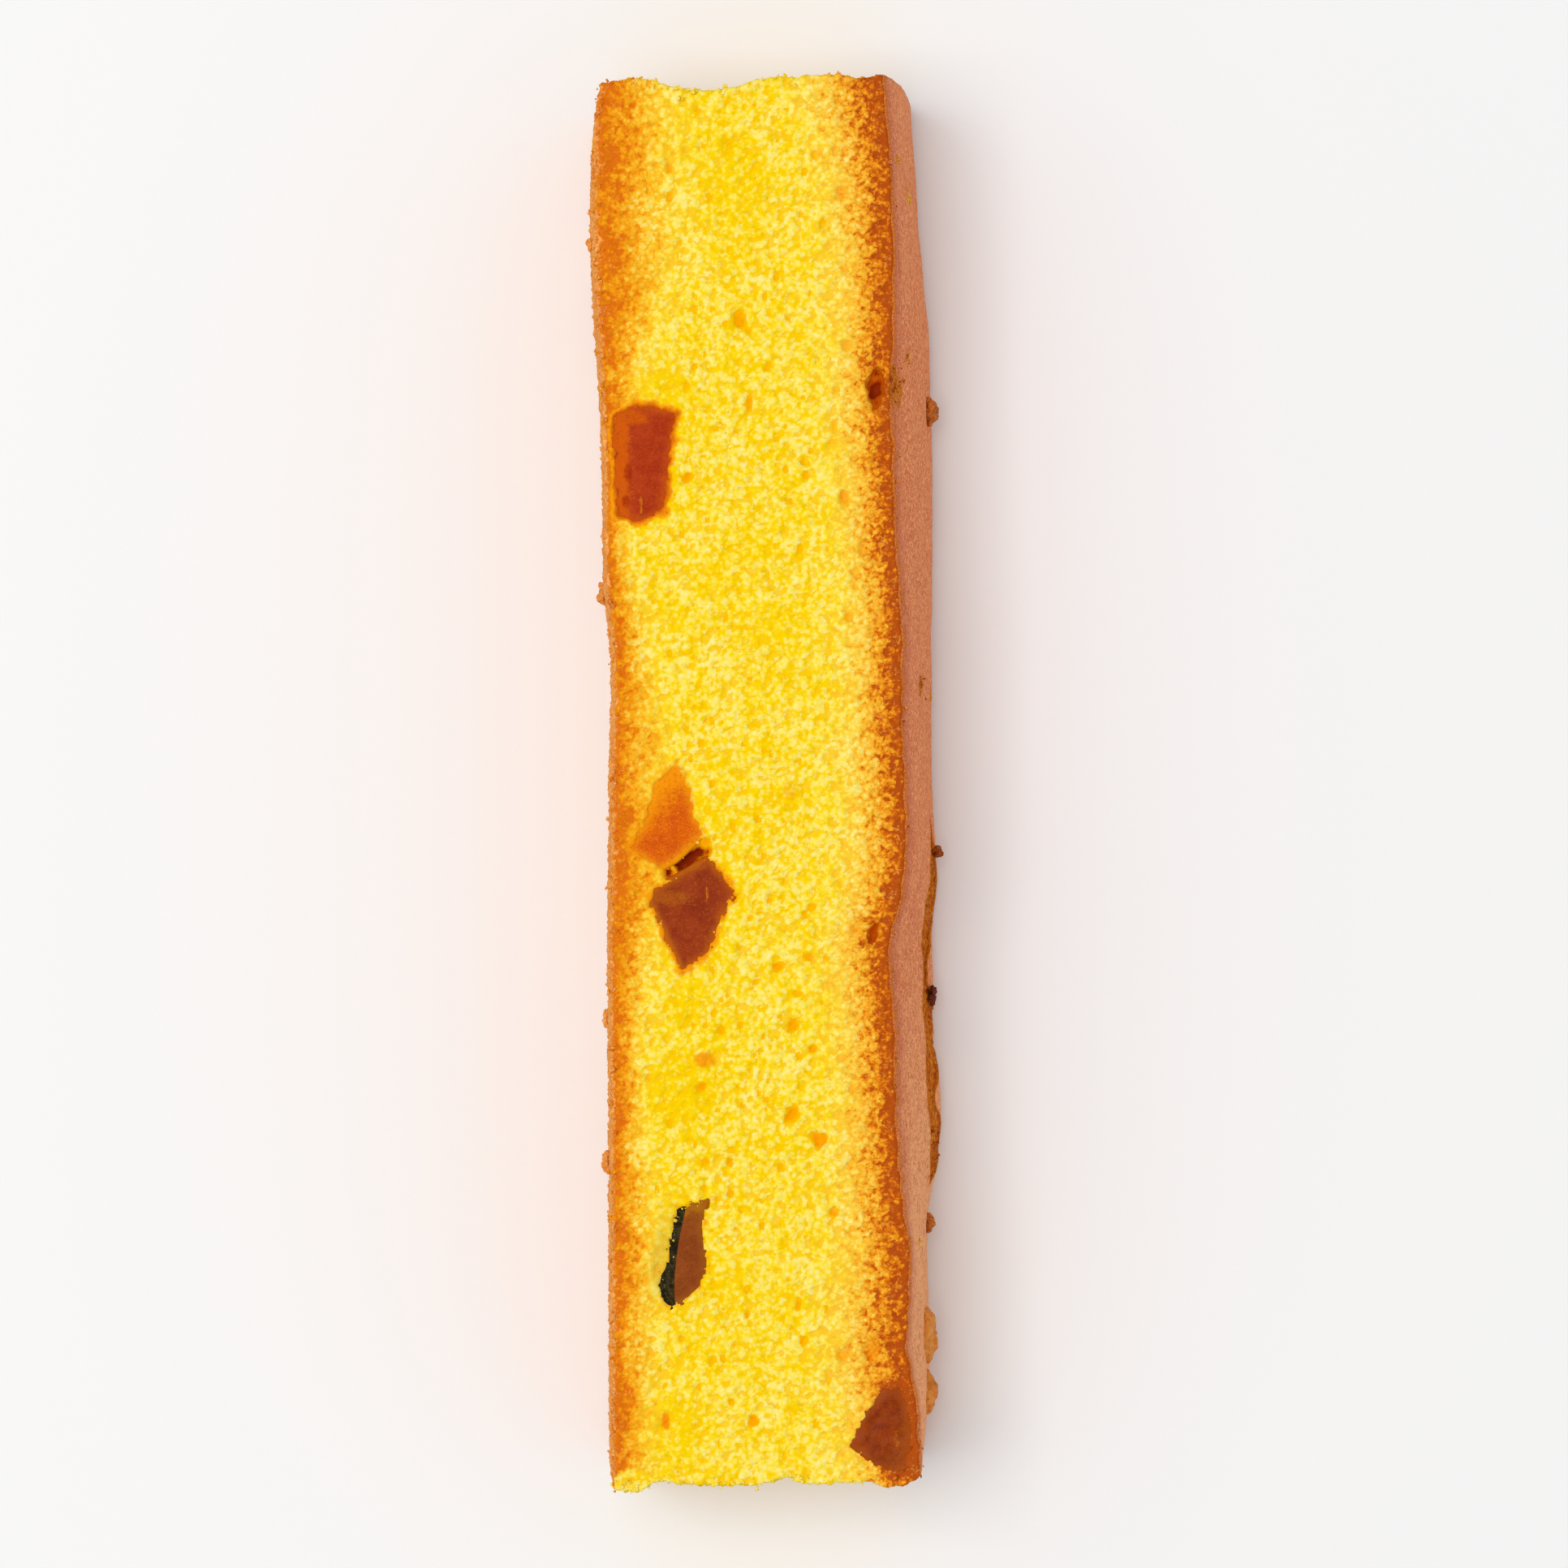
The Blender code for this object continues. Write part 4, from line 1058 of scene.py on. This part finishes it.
def set_pumpkin(name, outline, depth, finish, slot, sunk=0.12, **notes):
    """A piece cut flat by the knife: an outline drawn down to a narrower, rounded foot."""
    deselect()
    bpy.ops.mesh.primitive_circle_add(vertices=len(outline), radius=MM, fill_type="NGON")
    piece = started(name)
    middle = np.mean(outline, axis=0)
    arms = np.array(outline) - middle
    spread = middle + arms * (1 + EDGE_OVERLAP / np.hypot(*arms.T))[:, None]
    move_to(piece, np.column_stack((spread, np.full(len(outline), CUT_HEIGHT - sunk))))
    edit_chosen(piece, "FACE", np.ones(1, bool))
    foot = (middle[0] * MM, middle[1] * MM, (CUT_HEIGHT - depth) * MM)
    for share, width in ((0.55, 0.97), (0.45, 0.84)):
        down = (0, 0, -share * depth * MM)
        bpy.ops.mesh.extrude_region_move(TRANSFORM_OT_translate={"value": down})
        bpy.ops.transform.resize(value=(width, width, 1), center_override=foot)
    bpy.ops.mesh.select_all(action="SELECT")
    bpy.ops.mesh.normals_make_consistent(inside=False)
    bpy.ops.mesh.bevel(offset=0.35 * MM, segments=3, affect="EDGES")
    bpy.ops.object.mode_set(mode="OBJECT")
    apply_modifier(piece, "REMESH", mode="VOXEL", voxel_size=0.17 * MM)
    apply_modifier(piece, "SMOOTH", factor=0.5, iterations=4)
    roughen(piece, 1.6, 0.22)
    roughen(piece, 0.5, 0.06)
    x, y, _ = corners(piece).T
    note(piece, "depth_in", inside_outline(outline, x, y))
    for key, rule in notes.items():
        note(piece, key, rule(x, y))
    return finished(piece, finish, slot, name)


def lump(name, fineness, face, out, place, height, half_sizes, coarse, fine):
    """A sphere stretched to half sizes, set out from a crust and roughened twice."""
    deselect()
    bpy.ops.mesh.primitive_ico_sphere_add(subdivisions=fineness, radius=MM)
    piece = started(name)
    x = float(face(np.array([place]), np.array([height]))[0]) + out
    move_to(piece, np.array((x, place, height)) + corners(piece) * half_sizes)
    roughen(piece, *coarse)
    roughen(piece, *fine, noise_depth=2)
    return piece


def knob(name, place, height, out, half_sizes, finish):
    """A lump of candied pumpkin that stands out of the top crust."""
    piece = lump(name, 6, crust_side, out, place, height, half_sizes, (1.6, 1.1), (0.6, 0.4))
    level = corners(piece)[:, 2]
    note(piece, "depth_in", np.ones(len(level)))
    note(piece, "tint", rise(level, height - 1.5, height + 2.0) * 0.6)
    return finished(piece, finish, "knob_pumpkin", name)


def make_pumpkin():
    red = pumpkin_finish("red_candied_pumpkin", "ae3a16", "a23010", "cc5804", "c6560a")
    orange = pumpkin_finish("orange_candied_pumpkin", "d85e08", "d0540a", "f09004", "f09a06")
    dark = pumpkin_finish("dark_candied_pumpkin", "963816", "882e14", "a85412", "bc620c")
    rind = pumpkin_finish("pumpkin_with_green_rind", "8c4418", "823c14", "a8680e", "9c5814")
    baked = pumpkin_finish("baked_pumpkin", "8e3408", "702204", "9c480c", "a04a10", 0.3, 0.04)
    amber = pumpkin_finish("amber_pumpkin", "dc7a2a", "b8621a", "f4a84c", "e68e34", 0.4, 0.06)
    set_pumpkin(
        "pumpkin_block", BLOCK, 7.0, red, "red_pumpkin",
        tint=lambda x, y: np.maximum(rise(-x, 12.0, 13.0), oval(x, y, (-12.2, 33.7, 2.2, 1.1, 0.8))),
        pit=lambda x, y: (oval(x, y, (-12.6, 28.6, 0.7, 1.5, 1.0))
                          + oval(x, y, (-12.8, 25.9, 0.7, 1.1, 1.0))),
        scratch=lambda x, y: oval(x, y, (-11.4, 25.6, 0.35, 1.5, 0.8)),
    )
    set_pumpkin(
        "pumpkin_wedge", WEDGE, 6.5, orange, "orange_pumpkin",
        tint=lambda x, y: rise(y - 0.9 * (x + 8), -4.0, 2.0),
        pit=lambda x, y: oval(x, y, (-11.4, -5.3, 1.8, 0.6, 0.35)),
    )
    set_pumpkin(
        "pumpkin_diamond", DIAMOND, 7.5, dark, "dark_pumpkin",
        tint=lambda x, y: np.maximum(oval(x, y, (-8.6, -10.7, 2.4, 1.0, 0.75)),
                                     0.9 * rise(-(x + 7.9) - 0.45 * (y + 14), 0.6, 1.3)),
        scratch=lambda x, y: oval(x, y, (-5.3, -10.3, 0.2, 1.6, 0.7)),
        pit=lambda x, y: oval(x, y, (-4.9, -10.4, 0.22, 1.9, 0.7)),
    )
    set_pumpkin(
        "pumpkin_with_rind", RIND_PIECE, 6.0, rind, "rind_pumpkin",
        tint=lambda x, y: rise(y, -41.0, -38.7),
        peel=lambda x, y: rise(along(RIND_LINE, y) - x, -0.12, 0.12),
    )
    set_pumpkin(
        "pumpkin_corner", CORNER_PIECE, 7.0, baked, "baked_pumpkin", sunk=0.0,
        tint=lambda x, y: 0.25 + 0.45 * rise(x - 0.3 * (y + 60), 11.2, 13.2),
        scratch=lambda x, y: oval(x, y, (12.2, -60.6, 0.5, 1.6, 0.6)),
    )
    knob("pumpkin_knob_long", -52.3, 9.0, -0.35, (1.4, 2.8, 2.4), amber)
    knob("pumpkin_knob_short", -57.9, 8.0, -0.7, (1.5, 2.3, 2.2), amber)


def make_nuggets():
    """Small uneven lumps on both crusts, joined into one piece."""
    lumps = []
    for side, place, height, out, lengthwise, up, scorched in NUGGETS:
        face = crust_side if side > 0 else base_side
        piece = lump("crust_nuggets", 5, face, side * 0.2, place, height, (out, lengthwise, up),
                     (0.9, 1.0), (0.35, 0.4))
        note(piece, "scorched", np.full(len(piece.data.vertices), scorched))
        lumps.append(piece)
    alone(lumps[0])
    for piece in lumps:
        piece.select_set(True)
    bpy.ops.object.join()
    finished(lumps[0], nugget_finish(), "knob_pumpkin")


# -------- floor, light and camera

def make_stage():
    deselect()
    bpy.ops.mesh.primitive_plane_add(size=FLOOR_SIZE)
    floor = started("floor")
    floor.data.materials.append(Finish("pale_floor").surface((FLOOR_GREY, FLOOR_GREY, FLOOR_GREY, 1), 0.9))

    world = bpy.data.worlds.new("studio")
    bpy.context.scene.world = world
    world.use_nodes = True
    sky = world.node_tree.nodes["Background"]
    sky.inputs["Color"].default_value = (1, 1, 1, 1)
    sky.inputs["Strength"].default_value = SKY_STRENGTH

    for name, place, size, energy in SOFTBOXES:
        lamp = bpy.data.lights.new(name, "AREA")
        lamp.shape = "RECTANGLE"
        lamp.size, lamp.size_y = size, size
        lamp.energy = energy
        soft = bpy.data.objects.new(name, lamp)
        bpy.context.scene.collection.objects.link(soft)
        soft.location = Vector(place)
        soft.rotation_euler = (-soft.location).to_track_quat("-Z", "Y").to_euler()

    lens = bpy.data.cameras.new("camera")
    lens.sensor_width = SENSOR_WIDTH
    lens.lens = FOCAL_LENGTH
    camera = bpy.data.objects.new("camera", lens)
    bpy.context.scene.collection.objects.link(camera)
    away = FRAME_WIDTH * FOCAL_LENGTH / SENSOR_WIDTH
    camera.location = Vector((*FRAME_MIDDLE, CUT_HEIGHT + away)) * MM
    bpy.context.scene.camera = camera
    bpy.context.scene.view_settings.view_transform = "Standard"


crumb = crumb_finish()
cake = make_cake(crumb)
make_crumbs(cake, crumb)
loose_crumbs(crumb)
make_skin()
make_pumpkin()
make_nuggets()
make_stage()
